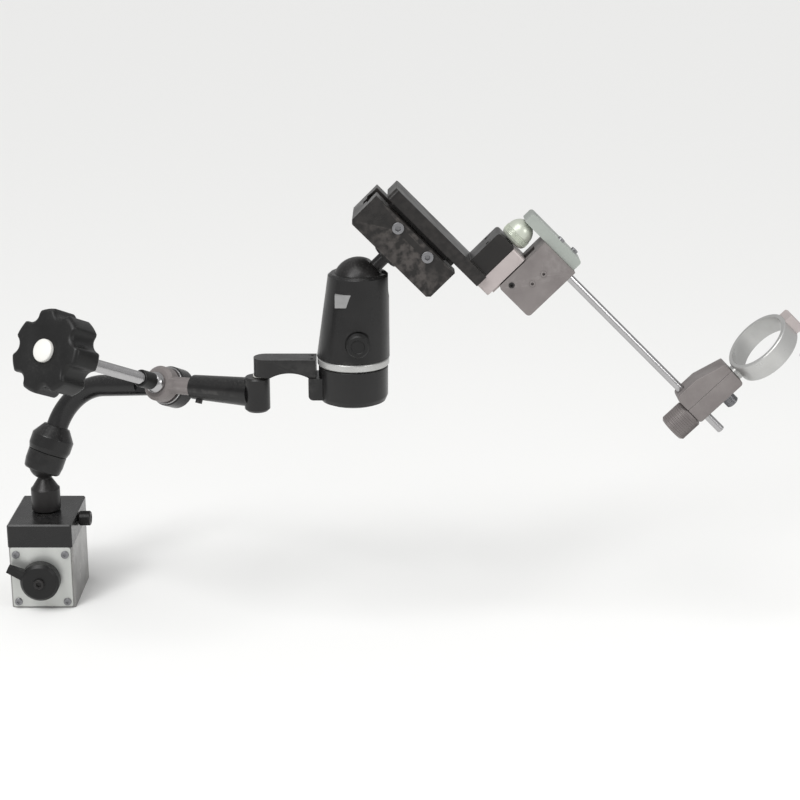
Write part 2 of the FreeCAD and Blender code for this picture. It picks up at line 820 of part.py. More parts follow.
def scale_plate():
    z = body_top - 14.0
    y = head_y - body_top_radius - 0.4
    x = head_ball.x - 8.5
    low = (x - label_width / 2, y, z - label_height / 2)
    high = (x + label_width / 2, y + 5.0, z + label_height / 2)
    plate = block(low, high)
    inner = rod(body_top_radius - 1.0, Vec(head_ball.x, head_y, body_bottom), Vec(head_ball.x, head_y, body_top))
    return plate.cut(inner)


def head_stem():
    ball = Part.makeSphere(head_ball_radius)
    flat = block((-head_ball_radius, head_ball_radius - 1.6, -head_ball_radius),
                 (head_ball_radius, head_ball_radius + 1, head_ball_radius))
    stem = rod(stem_radius, origin, Vec(0, stem_length - face_gap, 0))
    disc = turned([(0, stem_length - 3.0 - face_gap), (stem_radius + 4.5, stem_length - 3.0 - face_gap),
                   (stem_radius + 4.5, stem_length - face_gap), (0, stem_length - face_gap)], origin, along_y)
    stud = rod(stud_radius, origin, Vec(0, stem_length + stud_length, 0))
    return fused(ball.cut(flat), stem, disc, stud)


# Quick-release clamp, in the head frame

clamp_v = stem_length
clamp_top = clamp_v + clamp_height
half_clamp = clamp_width / 2
jaw_top = clamp_top + jaw_height
channel_half = half_clamp - jaw_thickness
foot_half = channel_half - slide_gap
neck_half = dovetail_neck / 2
foot_low = clamp_top + face_gap
flank_low = foot_low + dovetail_edge
flank_high = flank_low + foot_half - neck_half
plate_low = jaw_top + plate_stand
plate_high = plate_low + plate_thickness
bracket_screw_v = plate_low + bracket_screw_rise
guide_plate_v = [plate_low + rise for rise in guide_plate_rise]
lift_screw_top = plate_low + lift_screw_rise
block_v = [plate_low + rise for rise in block_rise]
rod_v = plate_low + rod_rise
end_v = [plate_low + rise for rise in end_rise]
end_slope_start = plate_low + end_slope_rise
ring_lock_v = plate_low + ring_lock_rise


def along_u(outline, span):
    """Extrude a (w, v) outline along the clamp."""
    points = [Vec(span[0], v, w) for w, v in outline]
    points.append(points[0])
    return Part.Face(Part.makePolygon(points)).extrude(Vec(span[1] - span[0], 0, 0))


def jaw_outline(side, low):
    """A jaw from its outer face to the lip that hooks over the foot's sloping flank."""
    lift = slide_gap * (math.sqrt(2) - 1)
    lip = neck_half + slide_gap
    outline = [(half_clamp, low), (half_clamp, jaw_top), (lip, jaw_top), (lip, flank_high + lift),
               (channel_half, flank_low + lift), (channel_half, low)]
    return [(side * w, v) for w, v in outline]


def clamp_body():
    body = block((clamp_u[0], clamp_v, -channel_half + face_gap), (clamp_u[1], clamp_top, half_clamp))
    front = along_u(jaw_outline(1, clamp_v), clamp_u)
    body = fused(body, front)
    body = chamfered(body, 2.0, lambda edge: runs_along(along_z)(edge) and edge.BoundBox.YMax < clamp_v + 1)
    channel = block((clamp_u[0], clamp_top - clamp_channel_depth, -4.0), (clamp_u[1], clamp_top, 4.0))
    stud_hole = rod(stud_radius + running_gap, Vec(0, clamp_v - 1, 0), Vec(0, clamp_top, 0))
    screw_hole = rod(clamp_screw_radius + running_gap, clamp_axis(-half_clamp), clamp_axis(half_clamp - 6))
    return body.cut(channel).cut(stud_hole).cut(screw_hole).cut(guide_screws())


def clamp_axis(w):
    return Vec(10.0, clamp_v + clamp_height * 0.42, w)


def guide_screws():
    screws = []
    for u in guide_screw_u:
        v = jaw_top - 4.8
        face = half_clamp
        head = rod(guide_screw_head_radius, Vec(u, v, face), Vec(u, v, face + guide_screw_head_height))
        shank = rod(guide_screw_radius, Vec(u, v, face - 6.0), Vec(u, v, face))
        screws.append(fused(head, shank))
    return group(screws)


def clamp_jaw():
    jaw = along_u(jaw_outline(-1, clamp_v), clamp_u)
    jaw = chamfered(jaw, 2.0, lambda edge: runs_along(along_z)(edge) and edge.BoundBox.YMax < clamp_v + 1)
    hole = rod(clamp_screw_radius + running_gap, clamp_axis(-half_clamp - 1), clamp_axis(0))
    return jaw.cut(hole)


def clamp_knob():
    place = clamp_axis(-half_clamp - face_gap)
    r = clamp_knob_radius
    knob = turned([(0, 0), (r * 0.7, 0), (r, 2.0), (r, clamp_knob_length - 1), (r - 1, clamp_knob_length),
                   (0, clamp_knob_length)], place, Vec(0, 0, -1))
    shank = rod(clamp_screw_radius, clamp_axis(-half_clamp - 1), clamp_axis(half_clamp - 10))
    return fused(knob, shank)


def angle_plate():
    half_outline = [(foot_half, foot_low), (foot_half, flank_low), (neck_half, flank_high), (neck_half, plate_low)]
    mirrored = [(-w, v) for w, v in reversed(half_outline)]
    foot = along_u(half_outline + mirrored, dovetail_u)
    plate = block((plate_u[0], plate_low, -plate_width / 2), (plate_u[1], plate_high, plate_width / 2))
    plate = filleted(plate, 3.0, lambda edge: runs_along(along_y)(edge) and edge.BoundBox.XMax < plate_u[0] + 1)
    leg = block((plate_u[1] - leg_thickness, plate_low, -leg_width / 2),
                (plate_u[1], plate_low + leg_height, leg_width / 2))
    leg = filleted(leg, 2.0, lambda edge: runs_along(along_z)(edge) and edge.BoundBox.YMin > plate_low + 5)
    bracket = fused(foot, plate, leg)
    return bracket.cut(bracket_screws()).cut(lift_screw())


def bracket_screws():
    left = plate_u[1] - leg_thickness
    head_end = left + bracket_screw_head_height
    tip = plate_u[1] + guide_plate_thickness - 2
    screws = []
    for w in (-bracket_screw_w, bracket_screw_w):
        shank = rod(bracket_screw_radius, Vec(left, bracket_screw_v, w), Vec(tip, bracket_screw_v, w))
        head = rod(bracket_screw_head_radius, Vec(left, bracket_screw_v, w), Vec(head_end, bracket_screw_v, w))
        screws.append(fused(shank, head))
    return group(screws)


def guide_plate():
    left = plate_u[1]
    right = left + guide_plate_thickness
    plate = block((left, guide_plate_v[0], -leg_width / 2), (right, guide_plate_v[1], leg_width / 2))
    plate = filleted(plate, 2.0, runs_along(along_x))
    key = block((right - 1, guide_plate_v[0] + 3, -key_width / 2),
                (right + key_height, guide_plate_v[1] - 3, key_width / 2))
    return fused(plate, key).cut(bracket_screws())


def lift_screw():
    low = plate_low + leg_height - lift_screw_depth
    return rod(lift_screw_radius, Vec(lift_screw_u, low, 0), Vec(lift_screw_u, lift_screw_top, 0))


def lift_nut():
    top = block_v[1] - face_gap
    low = top - lift_nut_length
    r = lift_nut_radius
    nut = turned([(0, low), (r * 0.55, low), (r * 0.84, low + 2.2), (r, low + 5.5), (r, top - 3.5),
                  (r * 0.9, top), (0, top)], Vec(lift_screw_u, 0, 0), along_y)
    return nut.cut(rod(lift_screw_radius + running_gap, Vec(lift_screw_u, low - 1, 0),
                       Vec(lift_screw_u, top + 1, 0)))


# Carriage that holds the rod

def rod_block():
    half = block_width / 2
    body = block((block_u[0], block_v[0], -half), (block_u[1], block_v[1], half))
    body = filleted(body, 2.5, lambda edge: runs_along(along_z)(edge) and edge.BoundBox.YMax < block_v[0] + 1)
    key_groove = block((block_u[0] - 1, block_v[0] - 1, -key_width / 2 - slide_gap),
                       (plate_u[1] + guide_plate_thickness + key_height + face_gap, block_v[1] - 8,
                        key_width / 2 + slide_gap))
    bore = rod(rod_radius + running_gap, Vec(rod_bore_end, rod_v, 0), Vec(block_u[1] + 1, rod_v, 0))
    return body.cut(key_groove).cut(bore).cut(gib_screws()).cut(strap_screws())


def gib_screws():
    screws = []
    face = block_width / 2
    for u, rise in gib_screw_places:
        v = plate_low + rise
        screws.append(rod(gib_screw_radius, Vec(u, v, face - gib_screw_depth), Vec(u, v, face + 0.6)))
    return group(screws)


def cover_strap():
    half = strap_width / 2
    strap = block((strap_u[0], block_v[1], -half), (strap_u[1], block_v[1] + strap_thickness, half))
    strap = filleted(strap, 2.0, lambda edge: runs_along(along_z)(edge) and edge.BoundBox.YMin > block_v[1] + 1)
    hole = rod(lift_screw_radius + running_gap, Vec(lift_screw_u, block_v[1] - 1, 0),
               Vec(lift_screw_u, block_v[1] + strap_thickness + 1, 0))
    return strap.cut(hole).cut(strap_screws())


def strap_screws():
    screws = []
    top = block_v[1] + strap_thickness
    for u, w in zip(strap_screw_u, (strap_screw_offset, -strap_screw_offset)):
        shank = rod(strap_screw_radius, Vec(u, block_v[1] - 8, w), Vec(u, top, w))
        head = rod(strap_screw_head_radius, Vec(u, top, w), Vec(u, top + 1.5, w))
        screws.append(fused(shank, head))
    return group(screws)


def holder_rod():
    return rod(rod_radius, Vec(rod_u[0], rod_v, 0), Vec(rod_u[1], rod_v, 0))


# Rod end clamp and ring

def end_block(span):
    half = end_width / 2
    return block((span[0], end_v[0], -half), (span[1], end_v[1], half))


def rod_hole():
    return rod(rod_radius + running_gap, Vec(end_body_u[0] - 1, rod_v, 0), Vec(end_cheek_u[1] + 1, rod_v, 0))


def end_clamp_body():
    body = end_block(end_body_u)
    body = filleted(body, 3.0, lambda edge: runs_along(along_z)(edge) and edge.BoundBox.XMax < end_body_u[0] + 1)
    left = end_body_u[0]
    corners = [Vec(left - 1, end_slope_start, -end_width), Vec(left, end_slope_start, -end_width),
               Vec(left + end_slope_run, end_v[1] + 1, -end_width), Vec(left - 1, end_v[1] + 1, -end_width),
               Vec(left - 1, end_slope_start, -end_width)]
    slope = Part.Face(Part.makePolygon(corners)).extrude(Vec(0, 0, 2 * end_width))
    return body.cut(rod_hole()).cut(slope)


def end_clamp_cheek():
    cheek = end_block(end_cheek_u)
    cheek = filleted(cheek, 2.0, lambda edge: runs_along(along_z)(edge) and edge.BoundBox.XMin > end_cheek_u[1] - 1)
    post_hole = rod(ring_post_radius + running_gap, Vec(ring_post_u, end_v[1] - ring_post_depth - face_gap, 0),
                    Vec(ring_post_u, end_v[1] + 1, 0))
    lock_hole = rod(ring_lock_shank_radius + running_gap, Vec(ring_post_u, ring_lock_v, 0),
                    Vec(end_cheek_u[1] + 1, ring_lock_v, 0))
    screw_hole = rod(thumb_shank_radius + running_gap, Vec(thumb_u, end_v[0] - 1, 0), Vec(thumb_u, rod_v, 0))
    return cheek.cut(rod_hole()).cut(post_hole).cut(lock_hole).cut(screw_hole)


def thumb_screw():
    top = end_v[0] - face_gap
    r = thumb_radius
    head = turned([(0, 0), (r * 0.6, 0), (r, 2.0), (r, thumb_length - 1.5), (r - 1.5, thumb_length),
                   (0, thumb_length)], Vec(thumb_u, top, 0), Vec(0, -1, 0))
    shank = rod(thumb_shank_radius, Vec(thumb_u, top - 1, 0), Vec(thumb_u, rod_v - rod_radius - face_gap, 0))
    return fused(head, shank)


def ring_lock_screw():
    face = end_cheek_u[1] + face_gap
    tip = ring_post_u + ring_post_radius - ring_post_groove[0] + face_gap
    shank = rod(ring_lock_shank_radius, Vec(tip, ring_lock_v, 0), Vec(face + 1, ring_lock_v, 0))
    r = ring_lock_head_radius
    head = turned([(0, 0), (r, 0.5), (r, ring_lock_head_length - 1), (r - 1, ring_lock_head_length),
                   (0, ring_lock_head_length)], Vec(face, ring_lock_v, 0), along_x)
    return fused(shank, head)


ring_centre = Vec(ring_post_u, end_v[1] + ring_stand + ring_outer_radius, 0)
ring_direction = Vec(-math.cos(math.radians(ring_turn)), 0, math.sin(math.radians(ring_turn)))


def ring_space(radius):
    half = ring_direction * (ring_height / 2 + 0.01)
    return rod(radius, ring_centre - half, ring_centre + half)


def ring_band():
    inner = ring_outer_radius - ring_wall
    half = ring_height / 2
    band = turned([(inner, -half), (ring_outer_radius - 0.5, -half), (ring_outer_radius, 0.5 - half),
                   (ring_outer_radius, half - 0.5), (ring_outer_radius - 0.5, half), (inner, half)],
                  ring_centre, ring_direction)
    groove, half_groove = ring_post_groove
    low = end_v[1] - ring_post_depth
    top = ring_centre.y - inner - ring_wall / 2
    r = ring_post_radius
    post = turned([(0, low), (r, low), (r, ring_lock_v - half_groove), (r - groove, ring_lock_v - half_groove),
                   (r - groove, ring_lock_v + half_groove), (r, ring_lock_v + half_groove),
                   (r, end_v[1] + face_gap), (r + ring_foot, end_v[1] + face_gap), (r + ring_foot, top), (0, top)],
                  Vec(ring_post_u, 0, 0), along_y)
    return fused(band, post.cut(ring_space(inner + 0.2)))


def retainer_block():
    """Small block on the far side of the ring that holds the wire hook."""
    bottom = ring_outer_radius
    body = block((-retainer_width / 2, bottom - 1.5, -retainer_length / 2),
                 (retainer_width / 2, bottom + retainer_thickness, retainer_length / 2))
    body = filleted(body, 1.5, lambda edge: edge.BoundBox.YMin > bottom + 1)
    frame = framed(ring_centre, Vec(ring_direction.z, 0, -ring_direction.x), along_y, ring_direction)
    body = moved(body, frame)
    return body.cut(ring_space(ring_outer_radius)).cut(hook_wire())


def hook_wire():
    level = ring_centre.y + ring_outer_radius + retainer_thickness / 2
    start = Vec(ring_centre.x - retainer_length / 3, level, 0)
    turn_start = Vec(ring_centre.x + hook_run, level, 0)
    mid_angle = math.radians(45)
    middle = turn_start + Vec(hook_bend_radius * math.sin(mid_angle),
                              -hook_bend_radius * (1 - math.cos(mid_angle)), 0)
    end = turn_start + Vec(hook_bend_radius, -hook_bend_radius, 0)
    tail = end - Vec(0, 4.0, 0)
    path = Part.Wire([Part.makeLine(start, turn_start), Part.Arc(turn_start, middle, end).toShape(),
                      Part.makeLine(end, tail)])
    circle = Part.Wire(Part.makeCircle(hook_radius, start, along_x))
    wire = path.makePipeShell([circle], True, True)
    tip = Part.makeSphere(hook_radius * 1.35, tail)
    return fused(wire, tip)


world_pieces = {
    "pole_left": pole(-1),
    "pole_right": pole(1),
    "pole_separators": pole_separators(),
    "front_plate": end_plate(-1),
    "rear_plate": end_plate(1),
    "plate_screws": plate_screws(),
    "base_cap": base_cap(),
    "magnet_rotor": magnet_rotor(),
    "switch_shaft": switch_shaft(),
    "switch_knob": switch_knob(),
    "switch_screw": switch_screw(),
    "side_screw": side_screw(),
    "ball_post": ball_post(),
    "end_eye": end_eye(),
    "pivot_bolt": pivot_bolt(),
    "pivot_washer": pivot_washer(),
    "link_bar": link_bar(),
    "bar_screws": bar_screws(),
    "head_base": head_base(),
    "pan_ring": pan_ring(),
    "head_body": head_body(),
    "head_cup": head_cup(),
    "scale_plate": scale_plate(),
    "lock_knob": lock_knob(),
}

arm_pieces = {
    "ball_seat": ball_seat(),
    "socket_body": socket_body(),
    "socket_collar": socket_collar(),
    "lower_arm": lower_arm(),
    "elbow_washer": elbow_washer(),
    "elbow_nut": elbow_nut(),
    "knob_spindle": knob_spindle(),
    "thrust_dome": thrust_dome(),
    "spindle_sleeve": spindle_sleeve(),
    "star_knob": star_knob(),
    "knob_cap": knob_cap(),
    "upper_knuckle": upper_knuckle(),
    "upper_arm_tube": upper_arm_tube(),
    "knuckle_set_screw": knuckle_set_screw(),
}

head_pieces = {
    "head_stem": head_stem(),
    "clamp_body": clamp_body(),
    "guide_screws": guide_screws(),
    "clamp_jaw": clamp_jaw(),
    "clamp_knob": clamp_knob(),
    "angle_plate": angle_plate(),
    "guide_plate": guide_plate(),
    "bracket_screws": bracket_screws(),
    "lift_screw": lift_screw(),
    "lift_nut": lift_nut(),
    "rod_block": rod_block(),
    "gib_screws": gib_screws(),
    "cover_strap": cover_strap(),
    "strap_screws": strap_screws(),
    "holder_rod": holder_rod(),
    "end_clamp_body": end_clamp_body(),
    "end_clamp_cheek": end_clamp_cheek(),
    "thumb_screw": thumb_screw(),
    "ring_lock_screw": ring_lock_screw(),
    "ring_band": ring_band(),
    "retainer_block": retainer_block(),
    "hook_wire": hook_wire(),
}

pieces = dict(world_pieces)
for name, shape in arm_pieces.items():
    pieces[name] = moved(shape, arm_frame)
for name, shape in head_pieces.items():
    pieces[name] = moved(shape, head_frame)

for name, shape in pieces.items():
    shape.exportStep("parts/" + name + ".step")
    print(name, "solids", len(shape.Solids), "valid", shape.isValid(), "volume", round(shape.Volume, 1))
print("pieces", len(pieces))
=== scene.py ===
import bmesh
import bpy
import json
import math
from mathutils import Matrix, Vector


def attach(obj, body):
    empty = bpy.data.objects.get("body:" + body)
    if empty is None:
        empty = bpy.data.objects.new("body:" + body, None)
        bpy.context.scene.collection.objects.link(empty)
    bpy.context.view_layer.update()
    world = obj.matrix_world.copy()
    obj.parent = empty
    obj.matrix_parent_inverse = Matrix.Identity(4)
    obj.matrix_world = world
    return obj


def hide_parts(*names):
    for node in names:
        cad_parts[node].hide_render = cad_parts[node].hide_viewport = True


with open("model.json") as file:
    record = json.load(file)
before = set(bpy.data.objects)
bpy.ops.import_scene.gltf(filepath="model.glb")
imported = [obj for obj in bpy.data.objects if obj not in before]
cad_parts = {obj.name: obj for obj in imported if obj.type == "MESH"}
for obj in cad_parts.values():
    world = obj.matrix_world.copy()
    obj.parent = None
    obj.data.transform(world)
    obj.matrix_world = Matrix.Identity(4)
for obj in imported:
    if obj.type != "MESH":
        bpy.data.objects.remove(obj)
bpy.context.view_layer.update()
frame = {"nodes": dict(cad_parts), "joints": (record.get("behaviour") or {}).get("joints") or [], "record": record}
print("frame loaded:", len(frame["nodes"]), "nodes")

mm = 0.001
joints = {j["name"]: j for j in frame["joints"]}


def jointAxis(name):
    return Vector(joints[name]["axis"]).normalized()


def newGroup(name, inputs, outputs):
    group = bpy.data.node_groups.new(name, "ShaderNodeTree")
    for label, kind, value in inputs:
        socket = group.interface.new_socket(label, in_out="INPUT", socket_type=kind)
        if value is not None:
            socket.default_value = value
    for label, kind in outputs:
        group.interface.new_socket(label, in_out="OUTPUT", socket_type=kind)
    return group, group.nodes.new("NodeGroupInput"), group.nodes.new("NodeGroupOutput")


def mathNode(tree, operation, first, second, clamp=False):
    node = tree.nodes.new("ShaderNodeMath")
    node.operation = operation
    node.use_clamp = clamp
    for socket, value in ((node.inputs[0], first), (node.inputs[1], second)):
        if isinstance(value, (int, float)):
            socket.default_value = value
        else:
            tree.links.new(value, socket)
    return node.outputs[0]


def mixColour(tree, amount, first, second):
    node = tree.nodes.new("ShaderNodeMix")
    node.data_type = "RGBA"
    tree.links.new(amount, node.inputs["Factor"])
    tree.links.new(first, node.inputs["A"])
    tree.links.new(second, node.inputs["B"])
    return node.outputs["Result"]


def noiseNode(tree, vector, scale, detail):
    node = tree.nodes.new("ShaderNodeTexNoise")
    node.inputs["Detail"].default_value = detail
    tree.links.new(vector, node.inputs["Vector"])
    if isinstance(scale, (int, float)):
        node.inputs["Scale"].default_value = scale
    else:
        tree.links.new(scale, node.inputs["Scale"])
    return node.outputs["Fac"]


def rangeNode(tree, value, low, high):
    # stretches low to high over 0 to 1
    node = tree.nodes.new("ShaderNodeMapRange")
    node.inputs["From Min"].default_value = low
    node.inputs["From Max"].default_value = high
    tree.links.new(value, node.inputs["Value"])
    return node.outputs["Result"]


# grain, edge wear and dust are node groups that every finish places with its own values
grainStyle = {"fineDetail": 3.0, "broadScale": 70.0, "broadDetail": 5.0, "broadLow": 0.32,
              "broadHigh": 0.68}


def buildGrain():
    tree, start, end = newGroup(
        "surfaceGrain",
        [("Vector", "NodeSocketVector", None), ("Color", "NodeSocketColor", (0.5, 0.5, 0.5, 1)),
         ("Tone Color", "NodeSocketColor", (0.4, 0.4, 0.4, 1)), ("Tone Amount", "NodeSocketFloat", 0.4),
         ("Grain Scale", "NodeSocketFloat", 1500.0), ("Roughness", "NodeSocketFloat", 0.4),
         ("Roughness Spread", "NodeSocketFloat", 0.1)],
        [("Color", "NodeSocketColor"), ("Roughness", "NodeSocketFloat"), ("Height", "NodeSocketFloat")])
    fine = noiseNode(tree, start.outputs["Vector"], start.outputs["Grain Scale"], grainStyle["fineDetail"])
    clouds = noiseNode(tree, start.outputs["Vector"], grainStyle["broadScale"], grainStyle["broadDetail"])
    broad = rangeNode(tree, clouds, grainStyle["broadLow"], grainStyle["broadHigh"])
    amount = mathNode(tree, "MULTIPLY", broad, start.outputs["Tone Amount"], True)
    toned = mixColour(tree, amount, start.outputs["Color"], start.outputs["Tone Color"])
    centred = mathNode(tree, "SUBTRACT", fine, 0.5)
    swing = mathNode(tree, "MULTIPLY", centred, start.outputs["Roughness Spread"])
    lean = mathNode(tree, "SUBTRACT", broad, 0.5)
    drift = mathNode(tree, "MULTIPLY", lean, start.outputs["Roughness Spread"])
    rough = mathNode(tree, "ADD", mathNode(tree, "ADD", start.outputs["Roughness"], swing), drift, True)
    tree.links.new(toned, end.inputs["Color"])
    tree.links.new(rough, end.inputs["Roughness"])
    tree.links.new(fine, end.inputs["Height"])
    return tree


wearStyle = {"edgeLow": 0.52, "edgeHigh": 0.62, "patchScale": 260.0, "patchDetail": 4.0, "patchLow": 0.4,
             "patchHigh": 0.62}


def buildEdgeWear():
    tree, start, end = newGroup(
        "edgeWear",
        [("Vector", "NodeSocketVector", None), ("Color", "NodeSocketColor", (0.5, 0.5, 0.5, 1)),
         ("Bare Color", "NodeSocketColor", (0.6, 0.6, 0.6, 1)), ("Roughness", "NodeSocketFloat", 0.4),
         ("Bare Roughness", "NodeSocketFloat", 0.3), ("Amount", "NodeSocketFloat", 0.3)],
        [("Color", "NodeSocketColor"), ("Roughness", "NodeSocketFloat"), ("Mask", "NodeSocketFloat")])
    geometry = tree.nodes.new("ShaderNodeNewGeometry")
    edges = rangeNode(tree, geometry.outputs["Pointiness"], wearStyle["edgeLow"], wearStyle["edgeHigh"])
    noise = noiseNode(tree, start.outputs["Vector"], wearStyle["patchScale"], wearStyle["patchDetail"])
    patches = rangeNode(tree, noise, wearStyle["patchLow"], wearStyle["patchHigh"])
    patchy = mathNode(tree, "MULTIPLY", edges, patches)
    mask = mathNode(tree, "MULTIPLY", patchy, start.outputs["Amount"], True)
    worn = mixColour(tree, mask, start.outputs["Color"], start.outputs["Bare Color"])
    gap = mathNode(tree, "SUBTRACT", start.outputs["Bare Roughness"], start.outputs["Roughness"])
    rough = mathNode(tree, "ADD", start.outputs["Roughness"], mathNode(tree, "MULTIPLY", gap, mask), True)
    tree.links.new(worn, end.inputs["Color"])
    tree.links.new(rough, end.inputs["Roughness"])
    tree.links.new(mask, end.inputs["Mask"])
    return tree


dustStyle = {"upLow": 0.3, "upHigh": 0.95, "speckScale": 900.0, "speckDetail": 6.0, "speckLow": 0.5,
             "speckHigh": 0.68, "dulling": 0.4}


def buildDust():
    tree, start, end = newGroup(
        "settledDust",
        [("Vector", "NodeSocketVector", None), ("Color", "NodeSocketColor", (0.5, 0.5, 0.5, 1)),
         ("Dust Color", "NodeSocketColor", (0.5, 0.49, 0.47, 1)), ("Roughness", "NodeSocketFloat", 0.4),
         ("Amount", "NodeSocketFloat", 0.08)],
        [("Color", "NodeSocketColor"), ("Roughness", "NodeSocketFloat")])
    geometry = tree.nodes.new("ShaderNodeNewGeometry")
    split = tree.nodes.new("ShaderNodeSeparateXYZ")
    tree.links.new(geometry.outputs["Normal"], split.inputs[0])
    upward = rangeNode(tree, split.outputs["Z"], dustStyle["upLow"], dustStyle["upHigh"])
    noise = noiseNode(tree, start.outputs["Vector"], dustStyle["speckScale"], dustStyle["speckDetail"])
    specks = rangeNode(tree, noise, dustStyle["speckLow"], dustStyle["speckHigh"])
    settled = mathNode(tree, "MULTIPLY", upward, specks)
    mask = mathNode(tree, "MULTIPLY", settled, start.outputs["Amount"], True)
    dusty = mixColour(tree, mask, start.outputs["Color"], start.outputs["Dust Color"])
    duller = mathNode(tree, "MULTIPLY", mask, dustStyle["dulling"])
    rough = mathNode(tree, "ADD", start.outputs["Roughness"], duller, True)
    tree.links.new(dusty, end.inputs["Color"])
    tree.links.new(rough, end.inputs["Roughness"])
    return tree


surfaceGrain = buildGrain()
edgeWear = buildEdgeWear()
settledDust = buildDust()


def placeGroup(tree, group, values):
    node = tree.nodes.new("ShaderNodeGroup")
    node.node_tree = group
    for label, value in values.items():
        if isinstance(value, bpy.types.NodeSocket):
            tree.links.new(value, node.inputs[label])
        else:
            node.inputs[label].default_value = value
    return node.outputs


def makeFinish(name, look):
    material = bpy.data.materials.new(name)
    material.use_nodes = True
    tree = material.node_tree
    shader = tree.nodes["Principled BSDF"]
    coords = tree.nodes.new("ShaderNodeTexCoord")
    mapping = tree.nodes.new("ShaderNodeMapping")
    mapping.inputs["Scale"].default_value = look.get("stretch", (1, 1, 1))
    tree.links.new(coords.outputs["Object"], mapping.inputs["Vector"])
    vector = mapping.outputs["Vector"]
    grain = placeGroup(tree, surfaceGrain, {
        "Vector": vector, "Color": (*look["color"], 1), "Tone Color": (*look["tone"], 1),
        "Tone Amount": look["toneAmount"], "Grain Scale": look["grainScale"],
        "Roughness": look["roughness"], "Roughness Spread": look["roughSpread"]})
    wear = placeGroup(tree, edgeWear, {
        "Vector": coords.outputs["Object"], "Color": grain["Color"], "Bare Color": (*look["bare"], 1),
        "Roughness": grain["Roughness"], "Bare Roughness": look["bareRoughness"], "Amount": look["wear"]})
    dust = placeGroup(tree, settledDust, {
        "Vector": coords.outputs["Object"], "Color": wear["Color"], "Roughness": wear["Roughness"],
        "Amount": look["dust"]})
    bump = tree.nodes.new("ShaderNodeBump")
    bump.inputs["Strength"].default_value = look["bumpStrength"]
    bump.inputs["Distance"].default_value = look["bumpDepth"]
    tree.links.new(grain["Height"], bump.inputs["Height"])
    tree.links.new(dust["Color"], shader.inputs["Base Color"])
    tree.links.new(dust["Roughness"], shader.inputs["Roughness"])
    tree.links.new(bump.outputs["Normal"], shader.inputs["Normal"])
    shader.inputs["Metallic"].default_value = look["metallic"]
    shader.inputs["Specular IOR Level"].default_value = look.get("specular", 0.5)
    shader.inputs["Coat Weight"].default_value = look.get("coat", 0.0)
    shader.inputs["Coat Roughness"].default_value = look.get("coatRoughness", 0.2)
    material.diffuse_color = (*look["color"], 1)
    return material


def lookOf(color, roughness, metallic, **changes):
    look = {"color": color, "tone": tuple(c * 0.78 for c in color), "toneAmount": 0.6, "grainScale": 2200.0,
            "roughness": roughness, "roughSpread": 0.12, "bare": (0.55, 0.54, 0.53), "bareRoughness": 0.32,
            "wear": 0.25, "dust": 0.06, "bumpStrength": 0.25, "bumpDepth": 0.00006, "metallic": metallic}
    look.update(changes)
    return look


